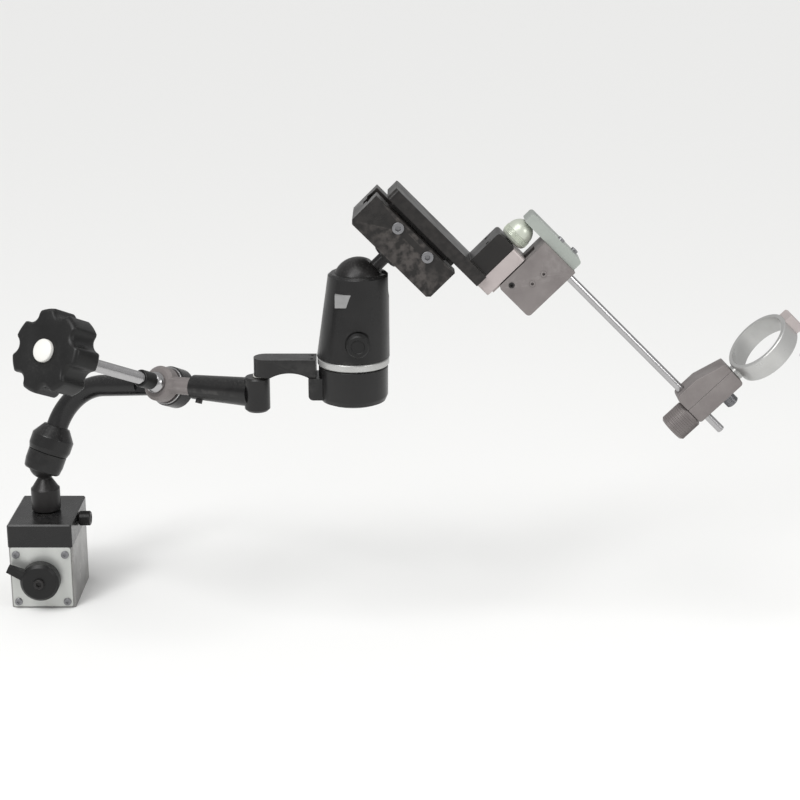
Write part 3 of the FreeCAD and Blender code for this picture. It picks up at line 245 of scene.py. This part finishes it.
finishes = {
    "ground_steel": lookOf((0.30, 0.295, 0.29), 0.32, 1.0, stretch=(0.05, 1.0, 1.0), grainScale=5000.0,
                           wear=0.1),
    "brass_strip": lookOf((0.50, 0.36, 0.16), 0.34, 1.0, stretch=(0.1, 1.0, 1.0), grainScale=4000.0),
    "satin_plate": lookOf((0.56, 0.57, 0.55), 0.36, 0.6, stretch=(1.0, 1.0, 0.04), grainScale=5000.0,
                          wear=0.1, tone=(0.47, 0.48, 0.46)),
    "zinc_screw": lookOf((0.24, 0.24, 0.25), 0.36, 0.8, grainScale=3000.0, wear=0.3, bare=(0.4, 0.4, 0.4)),
    "black_enamel": lookOf((0.008, 0.008, 0.0085), 0.28, 0.0, tone=(0.012, 0.0115, 0.0115), coat=0.12,
                           coatRoughness=0.12, bumpDepth=0.00012, grainScale=900.0, wear=0.12,
                           bare=(0.12, 0.115, 0.11), bumpStrength=0.2, specular=0.32),
    "magnet_black": lookOf((0.05, 0.05, 0.05), 0.6, 0.2, bumpDepth=0.0001),
    "black_plastic": lookOf((0.007, 0.007, 0.007), 0.4, 0.0, tone=(0.011, 0.011, 0.011),
                            grainScale=3200.0, bumpDepth=0.0001, wear=0.1, bare=(0.06, 0.06, 0.06),
                            bareRoughness=0.5, specular=0.3),
    "bright_steel": lookOf((0.46, 0.455, 0.46), 0.24, 1.0, tone=(0.40, 0.395, 0.40), wear=0.1,
                           grainScale=3000.0, bumpStrength=0.03),
    "black_oxide": lookOf((0.014, 0.0135, 0.0135), 0.34, 0.2, tone=(0.022, 0.02, 0.02), wear=0.3,
                          bare=(0.16, 0.15, 0.15), specular=0.32),
    "nylon": lookOf((0.78, 0.77, 0.74), 0.42, 0.0, tone=(0.70, 0.68, 0.63), wear=0.0, grainScale=1400.0),
    "black_anodised": lookOf((0.009, 0.0088, 0.009), 0.32, 0.0, tone=(0.014, 0.0135, 0.0135), coat=0.08,
                             coatRoughness=0.25, wear=0.2, bare=(0.14, 0.135, 0.13), grainScale=3600.0,
                             bumpDepth=0.00008, specular=0.32),
    "silver_anodised": lookOf((0.50, 0.50, 0.49), 0.34, 0.6, tone=(0.41, 0.41, 0.40), wear=0.12,
                              grainScale=3600.0),
    "dark_grey_anodised": lookOf((0.0125, 0.0115, 0.011), 0.34, 0.0, tone=(0.016, 0.0143, 0.0135),
                                 wear=0.3, bare=(0.17, 0.15, 0.14), grainScale=3000.0,
                                 bumpDepth=0.00009, specular=0.32),
    "grey_alloy": lookOf((0.215, 0.195, 0.19), 0.5, 0.25, tone=(0.165, 0.147, 0.144), wear=0.25,
                         grainScale=1900.0, bare=(0.36, 0.34, 0.33), bumpDepth=0.00012,
                         toneAmount=0.75),
    "pale_alloy": lookOf((0.47, 0.42, 0.41), 0.42, 0.3, tone=(0.38, 0.335, 0.33), wear=0.2,
                         grainScale=2400.0),
    "dome_alloy": lookOf((0.55, 0.58, 0.50), 0.33, 0.3, tone=(0.49, 0.52, 0.45), wear=0.1,
                         grainScale=3600.0, bumpStrength=0.08),
    "rail_alloy": lookOf((0.37, 0.40, 0.37), 0.38, 0.4, tone=(0.30, 0.325, 0.30), wear=0.25,
                         grainScale=4200.0, stretch=(0.2, 1.0, 0.2)),
    "label_grey": lookOf((0.27, 0.27, 0.27), 0.5, 0.0, tone=(0.21, 0.21, 0.21), wear=0.1),
}
finish = {name: makeFinish(name, look) for name, look in finishes.items()}
slotOf = {p["node"]: p["material_slot"] for p in frame["record"]["subparts"]}
bodyOf = {n: b for b, ns in frame["record"]["behaviour"]["bodies"].items() for n in ns}
for nodeName, nodeObject in frame["nodes"].items():
    nodeObject.data.materials.clear()
    nodeObject.data.materials.append(finish[slotOf[nodeName]])
print("finishes made:", len(finish))

bevelAngle = math.radians(32)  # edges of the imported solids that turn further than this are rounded


def addPiece(bm, name, nodeName, sharpAngle=34):
    # shades the mesh smooth up to the sharp angle and puts it on its body and material slot
    mesh = bpy.data.meshes.new(name)
    for face in bm.faces:
        face.smooth = True
    for edge in bm.edges:
        edge.smooth = len(edge.link_faces) == 2 and edge.calc_face_angle(0) < math.radians(sharpAngle)
    bm.to_mesh(mesh)
    bm.free()
    piece = bpy.data.objects.new(name, mesh)
    bpy.context.scene.collection.objects.link(piece)
    mesh.materials.append(finish[slotOf[nodeName]])
    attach(piece, bodyOf[nodeName])
    return piece


def keepFlatsFlat(piece):
    weighted = piece.modifiers.new("weightedNormals", "WEIGHTED_NORMAL")
    weighted.keep_sharp = True
    weighted.weight = 60


def mergedCopy(nodeName):
    bm = bmesh.new()
    bm.from_mesh(frame["nodes"][nodeName].data)
    bmesh.ops.remove_doubles(bm, verts=bm.verts, dist=0.002 * mm)
    bmesh.ops.dissolve_limit(bm, angle_limit=math.radians(0.4), verts=bm.verts, edges=bm.edges,
                             use_dissolve_boundaries=False)
    return bm


def roundedCopy(nodeName, style):
    bm = mergedCopy(nodeName)
    edges = [e for e in bm.edges if len(e.link_faces) == 2 and e.calc_face_angle(0) > bevelAngle]
    bmesh.ops.bevel(bm, geom=edges, offset=style["edge"], offset_type="OFFSET", segments=style["segments"],
                    profile=0.5, affect="EDGES", clamp_overlap=style.get("clamp", True), material=-1)
    bmesh.ops.remove_doubles(bm, verts=bm.verts, dist=0.001 * mm)
    piece = addPiece(bm, nodeName + "_piece", nodeName)
    keepFlatsFlat(piece)
    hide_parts(nodeName)
    return piece


def islandsOf(nodeName):
    # the separate solids of a node that holds several equal fasteners
    bm = mergedCopy(nodeName)
    left = set(bm.verts)
    found = []
    while left:
        stack = [left.pop()]
        island = list(stack)
        while stack:
            for edge in stack.pop().link_edges:
                for vert in edge.verts:
                    if vert in left:
                        left.discard(vert)
                        stack.append(vert)
                        island.append(vert)
        found.append([v.co.copy() for v in island])
    bm.free()
    return found


def measured(points, axis):
    # middle, both ends and radius of a round piece along its axis
    heights = [p.dot(axis) for p in points]
    flat = [p - axis * p.dot(axis) for p in points]
    side = axis.orthogonal().normalized()
    other = axis.cross(side)
    across = [(p.dot(side), p.dot(other)) for p in flat]
    a = (min(c[0] for c in across) + max(c[0] for c in across)) / 2
    b = (min(c[1] for c in across) + max(c[1] for c in across)) / 2
    middle = side * a + other * b
    radius = max((p - middle).length for p in flat)
    return middle, min(heights), max(heights), radius


def standing(middle, height, axis):
    return Matrix.Translation(middle + axis * height) @ axis.to_track_quat("Z", "Y").to_matrix().to_4x4()


def spun(profile, steps):
    bm = bmesh.new()
    verts = [bm.verts.new((r, 0, h)) for r, h in profile]
    edges = [bm.edges.new(pair) for pair in zip(verts, verts[1:])]
    bmesh.ops.spin(bm, geom=verts + edges, cent=(0, 0, 0), axis=(0, 0, 1), angle=2 * math.pi, steps=steps,
                   use_merge=True)
    bmesh.ops.remove_doubles(bm, verts=bm.verts, dist=0.001 * mm)
    bmesh.ops.recalc_face_normals(bm, faces=bm.faces)
    return bm


def knurled(bm, low, high, radius, depth):
    # sinks each face of a band a little, which leaves a raised net between them
    sides = [f for f in bm.faces if low < f.calc_center_median().z < high
             and f.calc_center_median().xy.length > radius * 0.97 and abs(f.normal.z) < 0.2]
    bmesh.ops.inset_individual(bm, faces=sides, thickness=depth * 0.45, depth=-depth, use_even_offset=True)


def screwMesh(style):
    bm = bmesh.new()
    rim = bmesh.ops.create_circle(bm, segments=32, radius=style["head"])["verts"]
    recess = bmesh.ops.create_circle(bm, segments=style["sides"], radius=style["recess"])["verts"]
    rimEdges = list({e for v in rim for e in v.link_edges})
    recessEdges = list({e for v in recess for e in v.link_edges})
    bmesh.ops.bridge_loops(bm, edges=rimEdges + recessEdges)
    down = bmesh.ops.extrude_edge_only(bm, edges=recessEdges)["geom"]
    floorVerts = [g for g in down if isinstance(g, bmesh.types.BMVert)]
    bmesh.ops.translate(bm, verts=floorVerts, vec=(0, 0, -style["depth"]))
    bmesh.ops.contextual_create(bm, geom=[g for g in down if isinstance(g, bmesh.types.BMEdge)])
    wall = bmesh.ops.extrude_edge_only(bm, edges=rimEdges)["geom"]
    wallVerts = [g for g in wall if isinstance(g, bmesh.types.BMVert)]
    bmesh.ops.translate(bm, verts=wallVerts, vec=(0, 0, -style["height"]))
    wallEdges = [g for g in wall if isinstance(g, bmesh.types.BMEdge)]
    under = bmesh.ops.contextual_create(bm, geom=wallEdges)["faces"]
    bmesh.ops.inset_region(bm, faces=under, thickness=style["head"] - style["shank"], depth=0)
    tail = bmesh.ops.extrude_discrete_faces(bm, faces=under)["faces"]
    tailVerts = list({v for f in tail for v in f.verts})
    bmesh.ops.translate(bm, verts=tailVerts, vec=(0, 0, -style["length"]))
    bmesh.ops.remove_doubles(bm, verts=bm.verts, dist=0.001 * mm)
    bmesh.ops.recalc_face_normals(bm, faces=bm.faces)
    outer = [e for e in bm.edges if len(e.link_faces) == 2 and e.calc_face_angle(0) > 1.0
             and all(abs(v.co.z) < 0.01 * mm and v.co.xy.length > style["head"] * 0.98 for v in e.verts)]
    bmesh.ops.bevel(bm, geom=outer, offset=style["round"], offset_type="OFFSET", segments=3, profile=0.5,
                    affect="EDGES", clamp_overlap=True, material=-1)
    return bm


def screwSet(nodeName, axis, style):
    whole = bmesh.new()
    for points in islandsOf(nodeName):
        outward = axis(points) if callable(axis) else axis
        middle, low, high, radius = measured(points, outward)
        sized = dict(style, head=radius, length=max(high - low - style["height"], 0.1 * mm))
        bm = screwMesh(sized)
        bm.transform(standing(middle, high, outward))
        part = bpy.data.meshes.new("screwPart")
        bm.to_mesh(part)
        bm.free()
        whole.from_mesh(part)
        bpy.data.meshes.remove(part)
    piece = addPiece(whole, nodeName + "_piece", nodeName)
    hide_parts(nodeName)
    return piece


worldX, worldY, worldZ = Vector((1, 0, 0)), Vector((0, 1, 0)), Vector((0, 0, 1))
spindleAxis = jointAxis("knob_turn")
stemAxis = jointAxis("clamp_swivel")
rodAxis = jointAxis("end_clamp_turn")

# magnetic base
baseEdges = {
    "base_cap": {"edge": 0.8 * mm, "segments": 3},
    "pole_left": {"edge": 0.35 * mm, "segments": 2},
    "pole_right": {"edge": 0.35 * mm, "segments": 2},
    "front_plate": {"edge": 0.35 * mm, "segments": 2},
    "rear_plate": {"edge": 0.35 * mm, "segments": 2},
    "switch_knob": {"edge": 0.9 * mm, "segments": 4},
    "ball_post": {"edge": 0.5 * mm, "segments": 3},
}
for nodeName, style in baseEdges.items():
    roundedCopy(nodeName, style)

plateScrew = {"height": 1.2 * mm, "sides": 4, "recess": 1.3 * mm, "depth": 0.7 * mm, "shank": 1.5 * mm,
              "round": 0.5 * mm}
screwSet("plate_screws", lambda points: worldY if points[0].y > 0 else -worldY, plateScrew)
switchScrew = {"height": 1.8 * mm, "sides": 6, "recess": 1.9 * mm, "depth": 1.2 * mm, "shank": 1.6 * mm,
               "round": 0.3 * mm}
screwSet("switch_screw", -worldY, switchScrew)

dishShare = {"edge": 0.62, "floor": 0.55}  # the shallow dish on a knurled head, as shares of its radius


def knurledScrew(nodeName, axis, style):
    points = [v.co for v in frame["nodes"][nodeName].data.vertices]
    middle, low, high, radius = measured(points, axis)
    chamfer = style["chamfer"]
    under = high - style["head"]
    floorHeight = high - style["dish"]
    step = (style["head"] - 2 * chamfer) / style["bands"]
    profile = [(0, low), (style["shank"], low), (style["shank"], under)]
    profile += [(radius - chamfer, under), (radius, under + chamfer)]
    profile += [(radius, under + chamfer + step * i) for i in range(1, style["bands"] + 1)]
    profile += [(radius - chamfer, high)]
    profile += [(radius * dishShare["edge"], high), (radius * dishShare["floor"], floorHeight)]
    profile += [(0, floorHeight)]
    bm = spun(profile, style["steps"])
    knurled(bm, under + chamfer, high - chamfer, radius, style["knurl"])
    bm.transform(standing(middle, 0, axis))
    piece = addPiece(bm, nodeName + "_piece", nodeName)
    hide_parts(nodeName)
    return piece


sideScrewStyle = {"head": 8.0 * mm, "chamfer": 0.7 * mm, "shank": 2.5 * mm, "bands": 5, "steps": 40,
                  "knurl": 0.22 * mm, "dish": 0.6 * mm}
knurledScrew("side_screw", worldX, sideScrewStyle)
print("base done")

# socket, arms and elbow
armEdges = {
    "socket_body": {"edge": 0.6 * mm, "segments": 3},
    "socket_collar": {"edge": 0.5 * mm, "segments": 3},
    "lower_arm": {"edge": 0.7 * mm, "segments": 3},
    "elbow_washer": {"edge": 0.25 * mm, "segments": 2},
    "elbow_nut": {"edge": 0.4 * mm, "segments": 2},
    "thrust_dome": {"edge": 0.5 * mm, "segments": 3},
    "spindle_sleeve": {"edge": 0.4 * mm, "segments": 2},
    "upper_knuckle": {"edge": 0.5 * mm, "segments": 3},
    "upper_arm_tube": {"edge": 0.5 * mm, "segments": 3},
    "end_eye": {"edge": 0.5 * mm, "segments": 3},
}
for nodeName, style in armEdges.items():
    roundedCopy(nodeName, style)

starStyle = {"lobes": 7, "valley": 6.5 * mm, "valleyOut": 0.35, "soften": 0.9 * mm, "hub": 10.5 * mm,
             "hubLength": 7.0 * mm, "hubChamfer": 1.0 * mm, "flare": 1.5 * mm, "round": 3.2 * mm,
             "roundSteps": 7, "sideSteps": 5, "dish": 0.9 * mm, "dishShares": (0.6, 0.45, 0.36), "steps": 168}


def lobeRadius(angle, outer):
    # distance to the rim at one angle, with the valleys' corners softened
    spacing = 2 * math.pi / starStyle["lobes"]
    off = abs((angle / spacing) % 1.0 - 0.5) * spacing
    centre = outer + starStyle["valley"] * starStyle["valleyOut"]
    reach = starStyle["valley"] ** 2 - (centre * math.sin(off)) ** 2
    if reach <= 0 or off > math.pi / 2:
        valleyEdge = outer * 1.3
    else:
        valleyEdge = centre * math.cos(off) - math.sqrt(reach)
    k = 1 / starStyle["soften"]
    return -math.log(math.exp(-k * (valleyEdge - outer)) + 1) / k + outer


def buildStarKnob():
    points = [v.co for v in frame["nodes"]["star_knob"].data.vertices]
    middle, low, high, r = measured(points, spindleAxis)
    under = low + starStyle["hubLength"]
    hub = starStyle["hub"]
    chamfer = starStyle["hubChamfer"]
    bend = starStyle["round"]
    sides = starStyle["sideSteps"]
    start = hub + starStyle["flare"]
    floorHeight = high - starStyle["dish"]
    outerShare, slopeShare, floorShare = starStyle["dishShares"]
    quarter = [math.pi / 2 * i / starStyle["roundSteps"] for i in range(starStyle["roundSteps"] + 1)]
    profile = [(0, low), (hub - chamfer, low), (hub, low + chamfer), (hub, under - starStyle["flare"]),
               (start, under)]
    profile += [(r - bend + bend * math.sin(a), under + bend - bend * math.cos(a)) for a in quarter]
    profile += [(r, under + bend + (high - under - 2 * bend) * i / sides) for i in range(1, sides)]
    profile += [(r - bend + bend * math.cos(a), high - bend + bend * math.sin(a)) for a in quarter]
    profile += [(r * outerShare, high), (r * slopeShare, (high + floorHeight) / 2),
                (r * floorShare, floorHeight), (0, floorHeight)]
    bm = spun(profile, starStyle["steps"])
    for vert in bm.verts:
        flat = vert.co.xy.length
        if flat > start:
            share = min((flat - start) / (r - bend - start), 1)
            share = share * share * (3 - 2 * share)  # the lobes fade out towards the hub
            shrink = (r - lobeRadius(math.atan2(vert.co.y, vert.co.x), r)) * share
            vert.co.xy *= (flat - shrink) / flat
    reach = jointAxis("lower_tilt")
    rise = spindleAxis.cross(reach)
    turn = Matrix((reach, rise, spindleAxis)).transposed().to_4x4()
    bm.transform(Matrix.Translation(middle) @ turn)
    piece = addPiece(bm, "starKnob", "star_knob", 40)
    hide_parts("star_knob")


buildStarKnob()
capStyle = {"crown": 1.7 * mm, "crownSteps": 8, "steps": 48}


def buildKnobCap():
    points = [v.co for v in frame["nodes"]["knob_cap"].data.vertices]
    middle, low, high, r = measured(points, spindleAxis)
    rim = high - capStyle["crown"]
    profile = [(0, low), (r, low), (r, rim)]
    for i in range(1, capStyle["crownSteps"] + 1):
        angle = math.pi / 2 * i / capStyle["crownSteps"]
        profile.append((r * math.cos(angle), rim + capStyle["crown"] * math.sin(angle)))
    profile[-1] = (0, high)
    bm = spun(profile, capStyle["steps"])
    bm.transform(standing(middle, 0, spindleAxis))
    piece = addPiece(bm, "knobCap", "knob_cap")
    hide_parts("knob_cap")


buildKnobCap()

threadStyle = {"pitch": 2.0 * mm, "depth": 0.7 * mm, "stepsPerTurn": 28, "endGap": 1.0 * mm}
# the ridge's crest and foot are shares of the pitch
ridgeShape = {"sunk": 0.1 * mm, "crestStart": 0.45, "crestEnd": 0.55, "foot": 0.98}


def buildThreadedRod(nodeName, axis, style):
    points = [v.co for v in frame["nodes"][nodeName].data.vertices]
    middle, low, high, r = measured(points, axis)
    depth = style["depth"]
    core = r - depth
    root = core - ridgeShape["sunk"]
    bm = spun([(0, low), (core - depth, low), (core, low + depth), (core, high - depth),
               (core - depth, high), (0, high)], 32)
    # the thread is one closed ridge wound round the core
    turns = int((high - low - 2 * style["endGap"]) / style["pitch"])
    steps = turns * style["stepsPerTurn"]
    base = low + style["endGap"]
    p = style["pitch"]
    crestLow = base + p * ridgeShape["crestStart"]
    crestHigh = base + p * ridgeShape["crestEnd"]
    corners = [bm.verts.new(spot) for spot in (
        (root, 0, base), (r, 0, crestLow), (r, 0, crestHigh), (root, 0, base + p * ridgeShape["foot"]))]
    ridge = [bm.edges.new((corners[i], corners[(i + 1) % 4])) for i in range(4)]
    bm.faces.new(corners)
    made = bmesh.ops.spin(bm, geom=corners + ridge, cent=(0, 0, 0), axis=(0, 0, 1),
                          dvec=(0, 0, p * turns / steps), angle=2 * math.pi * turns, steps=steps,
                          use_merge=False)
    lastEdges = [g for g in made["geom_last"] if isinstance(g, bmesh.types.BMEdge)]
    bmesh.ops.contextual_create(bm, geom=lastEdges)
    bmesh.ops.recalc_face_normals(bm, faces=bm.faces)
    bm.transform(standing(middle, 0, axis))
    piece = addPiece(bm, nodeName + "_piece", nodeName)
    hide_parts(nodeName)


buildThreadedRod("knob_spindle", spindleAxis, threadStyle)
liftThread = {"pitch": 1.0 * mm, "depth": 0.35 * mm, "stepsPerTurn": 24, "endGap": 0.6 * mm}
buildThreadedRod("lift_screw", stemAxis, liftThread)
print("arm done")

# link bar and ball head
headEdges = {
    "link_bar": {"edge": 0.8 * mm, "segments": 3},
    "head_base": {"edge": 0.8 * mm, "segments": 3},
    "pan_ring": {"edge": 0.4 * mm, "segments": 3},
    "head_body": {"edge": 0.8 * mm, "segments": 3},
    "scale_plate": {"edge": 0.25 * mm, "segments": 2},
    "head_stem": {"edge": 0.5 * mm, "segments": 3},
    "pivot_bolt": {"edge": 0.4 * mm, "segments": 2},
}
for nodeName, style in headEdges.items():
    roundedCopy(nodeName, style)

barScrew = {"height": 2.0 * mm, "sides": 6, "recess": 1.1 * mm, "depth": 1.2 * mm, "shank": 1.2 * mm,
            "round": 0.25 * mm}
screwSet("bar_screws", worldZ, barScrew)
lockStyle = {"head": 8.0 * mm, "chamfer": 0.9 * mm, "shank": 2.5 * mm, "bands": 5, "steps": 48,
             "knurl": 0.25 * mm, "dish": 0.5 * mm}
knurledScrew("lock_knob", -worldY, lockStyle)
print("head done")

# clamp, plate, rod block and ring
holderEdges = {
    "clamp_body": {"edge": 0.7 * mm, "segments": 3},
    "clamp_jaw": {"edge": 0.7 * mm, "segments": 3},
    "angle_plate": {"edge": 0.6 * mm, "segments": 3},
    "guide_plate": {"edge": 0.5 * mm, "segments": 3},
    "rod_block": {"edge": 0.6 * mm, "segments": 3},
    "cover_strap": {"edge": 0.6 * mm, "segments": 3},
    "holder_rod": {"edge": 0.5 * mm, "segments": 3},
    "end_clamp_body": {"edge": 0.5 * mm, "segments": 3, "clamp": False},
    "end_clamp_cheek": {"edge": 0.5 * mm, "segments": 3, "clamp": False},
    "ring_band": {"edge": 0.5 * mm, "segments": 3},
    "retainer_block": {"edge": 0.5 * mm, "segments": 3},
    "hook_wire": {"edge": 0.2 * mm, "segments": 2},
}
for nodeName, style in holderEdges.items():
    roundedCopy(nodeName, style)

guideScrew = {"height": 1.0 * mm, "sides": 6, "recess": 1.9 * mm, "depth": 1.8 * mm, "shank": 2.0 * mm,
              "round": 0.3 * mm}
screwSet("guide_screws", -worldY, guideScrew)
gibScrew = {"height": 3.0 * mm, "sides": 6, "recess": 1.0 * mm, "depth": 1.5 * mm, "shank": 1.7 * mm,
            "round": 0.2 * mm}
gibPiece = screwSet("gib_screws", -worldY, gibScrew)
gibPiece.data.materials.append(finish["grey_alloy"])  # two of the three are as pale as the block
firstScrewWidth = 5 * mm
gibSplit = min(p.center.dot(rodAxis) for p in gibPiece.data.polygons) + firstScrewWidth
for polygon in gibPiece.data.polygons:
    if polygon.center.dot(rodAxis) > gibSplit:
        polygon.material_index = 1
strapScrew = {"height": 1.5 * mm, "sides": 6, "recess": 1.1 * mm, "depth": 0.9 * mm, "shank": 1.5 * mm,
              "round": 0.3 * mm}
screwSet("strap_screws", stemAxis, strapScrew)
bracketScrew = {"height": 2.2 * mm, "sides": 6, "recess": 1.5 * mm, "depth": 1.4 * mm, "shank": 2.0 * mm,
                "round": 0.25 * mm}
screwSet("bracket_screws", -rodAxis, bracketScrew)

clampKnobStyle = {"head": 11.0 * mm, "chamfer": 1.2 * mm, "shank": 2.5 * mm, "bands": 6, "steps": 48,
                  "knurl": 0.35 * mm, "dish": 0.8 * mm}
knurledScrew("clamp_knob", worldY, clampKnobStyle)
thumbStyle = {"head": 16.0 * mm, "chamfer": 1.3 * mm, "shank": 2.5 * mm, "bands": 9, "steps": 56,
              "knurl": 0.22 * mm, "dish": 0.5 * mm}
knurledScrew("thumb_screw", -stemAxis, thumbStyle)
ringScrewStyle = {"head": 7.0 * mm, "chamfer": 0.7 * mm, "shank": 1.8 * mm, "bands": 5, "steps": 36,
                  "knurl": 0.2 * mm, "dish": 0.4 * mm}
knurledScrew("ring_lock_screw", rodAxis, ringScrewStyle)

nutStyle = {"neck": 0.55, "foot": 2.4 * mm, "footWidth": 0.96, "footSteps": 5, "lip": 0.4 * mm,
            "band": 3.6 * mm, "bandSteps": 4, "domeWidth": 0.95, "domeShare": 0.82, "domeSteps": 7,
            "bore": 2.45 * mm, "steps": 56, "knurl": 0.3 * mm}


def buildDomeNut():
    points = [v.co for v in frame["nodes"]["lift_nut"].data.vertices]
    middle, low, high, r = measured(points, stemAxis)
    neck = nutStyle["neck"]
    spread = nutStyle["footWidth"] - neck
    profile = [(nutStyle["bore"], low), (r * neck, low)]
    for i in range(1, nutStyle["footSteps"]):
        angle = math.pi / 2 * i / nutStyle["footSteps"]
        rise = nutStyle["foot"] * (1 - math.cos(angle))
        profile.append((r * (neck + spread * math.sin(angle)), low + rise))
    bandLow = low + nutStyle["foot"] + nutStyle["lip"]
    bandHigh = bandLow + nutStyle["band"]
    profile += [(r * nutStyle["footWidth"], bandLow - nutStyle["lip"]), (r, bandLow)]
    bands = nutStyle["bandSteps"]
    profile += [(r, bandLow + nutStyle["band"] * i / bands) for i in range(1, bands + 1)]
    domeStart = bandHigh + nutStyle["lip"]
    domeSteps = nutStyle["domeSteps"]
    lastAngle = math.pi / 2 * nutStyle["domeShare"] * (domeSteps - 1) / domeSteps
    for i in range(domeSteps):
        angle = lastAngle * i / (domeSteps - 1)
        rise = (high - domeStart) * math.sin(angle) / math.sin(lastAngle)
        profile.append((r * nutStyle["domeWidth"] * math.cos(angle), domeStart + rise))
    profile += [(nutStyle["bore"], high), (nutStyle["bore"], low)]
    bm = spun(profile, nutStyle["steps"])
    knurled(bm, bandLow, bandHigh, r, nutStyle["knurl"])
    bm.transform(standing(middle, 0, stemAxis))
    piece = addPiece(bm, "liftNut", "lift_nut")
    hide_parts("lift_nut")


buildDomeNut()
print("holder done")

floorStyle = {"size": 14.0, "color": (0.90, 0.90, 0.89), "roughness": 0.7, "specular": 0.1}


def buildFloor():
    bm = bmesh.new()
    bmesh.ops.create_grid(bm, x_segments=8, y_segments=8, size=floorStyle["size"])
    mesh = bpy.data.meshes.new("floor")
    bm.to_mesh(mesh)
    bm.free()
    floor = bpy.data.objects.new("floor", mesh)
    bpy.context.scene.collection.objects.link(floor)
    material = bpy.data.materials.new("paleFloor")
    material.use_nodes = True
    shader = material.node_tree.nodes["Principled BSDF"]
    shader.inputs["Base Color"].default_value = (*floorStyle["color"], 1)
    shader.inputs["Roughness"].default_value = floorStyle["roughness"]
    shader.inputs["Specular IOR Level"].default_value = floorStyle["specular"]
    mesh.materials.append(material)


buildFloor()

worldStyle = {"color": (1.0, 1.0, 1.0, 1), "strength": 0.52}
worldLight = bpy.data.worlds.new("studio")
worldLight.use_nodes = True
background = worldLight.node_tree.nodes["Background"]
background.inputs["Color"].default_value = worldStyle["color"]
background.inputs["Strength"].default_value = worldStyle["strength"]
bpy.context.scene.world = worldLight

lights = {
    "keyLight": {"spot": (-0.45, -0.8, 0.95), "aim": (0.15, 0, 0.12), "size": 0.3, "power": 3.6},
    "fillLight": {"spot": (1.0, -0.7, 0.6), "aim": (0.25, 0, 0.12), "size": 0.3, "power": 2.0},
}
for name, style in lights.items():
    data = bpy.data.lights.new(name, "AREA")
    data.shape = "SQUARE"
    data.size = style["size"]
    data.energy = style["power"]
    lamp = bpy.data.objects.new(name, data)
    lamp.location = style["spot"]
    lamp.rotation_euler = (Vector(style["aim"]) - Vector(style["spot"])).to_track_quat("-Z", "Y").to_euler()
    bpy.context.scene.collection.objects.link(lamp)

sunStyle = {"energy": 1.55, "softness": math.radians(40), "turn": (math.radians(28), math.radians(-14), 0)}
sunData = bpy.data.lights.new("windowLight", "SUN")
sunData.energy = sunStyle["energy"]
sunData.angle = sunStyle["softness"]
sun = bpy.data.objects.new("windowLight", sunData)
sun.rotation_euler = sunStyle["turn"]
bpy.context.scene.collection.objects.link(sun)

cameraStyle = {"lens": 81.0, "sensor": 36.0, "spot": (0.240, -1.14757, 0.48885),
               "turn": (math.radians(73), 0, 0)}
cameraData = bpy.data.cameras.new("camera")
cameraData.lens = cameraStyle["lens"]
cameraData.sensor_width = cameraStyle["sensor"]
camera = bpy.data.objects.new("camera", cameraData)
camera.location = cameraStyle["spot"]
camera.rotation_euler = cameraStyle["turn"]
bpy.context.scene.collection.objects.link(camera)
bpy.context.scene.camera = camera
bpy.context.scene.view_settings.view_transform = "Standard"
print("stage done")

bpy.context.view_layer.update()
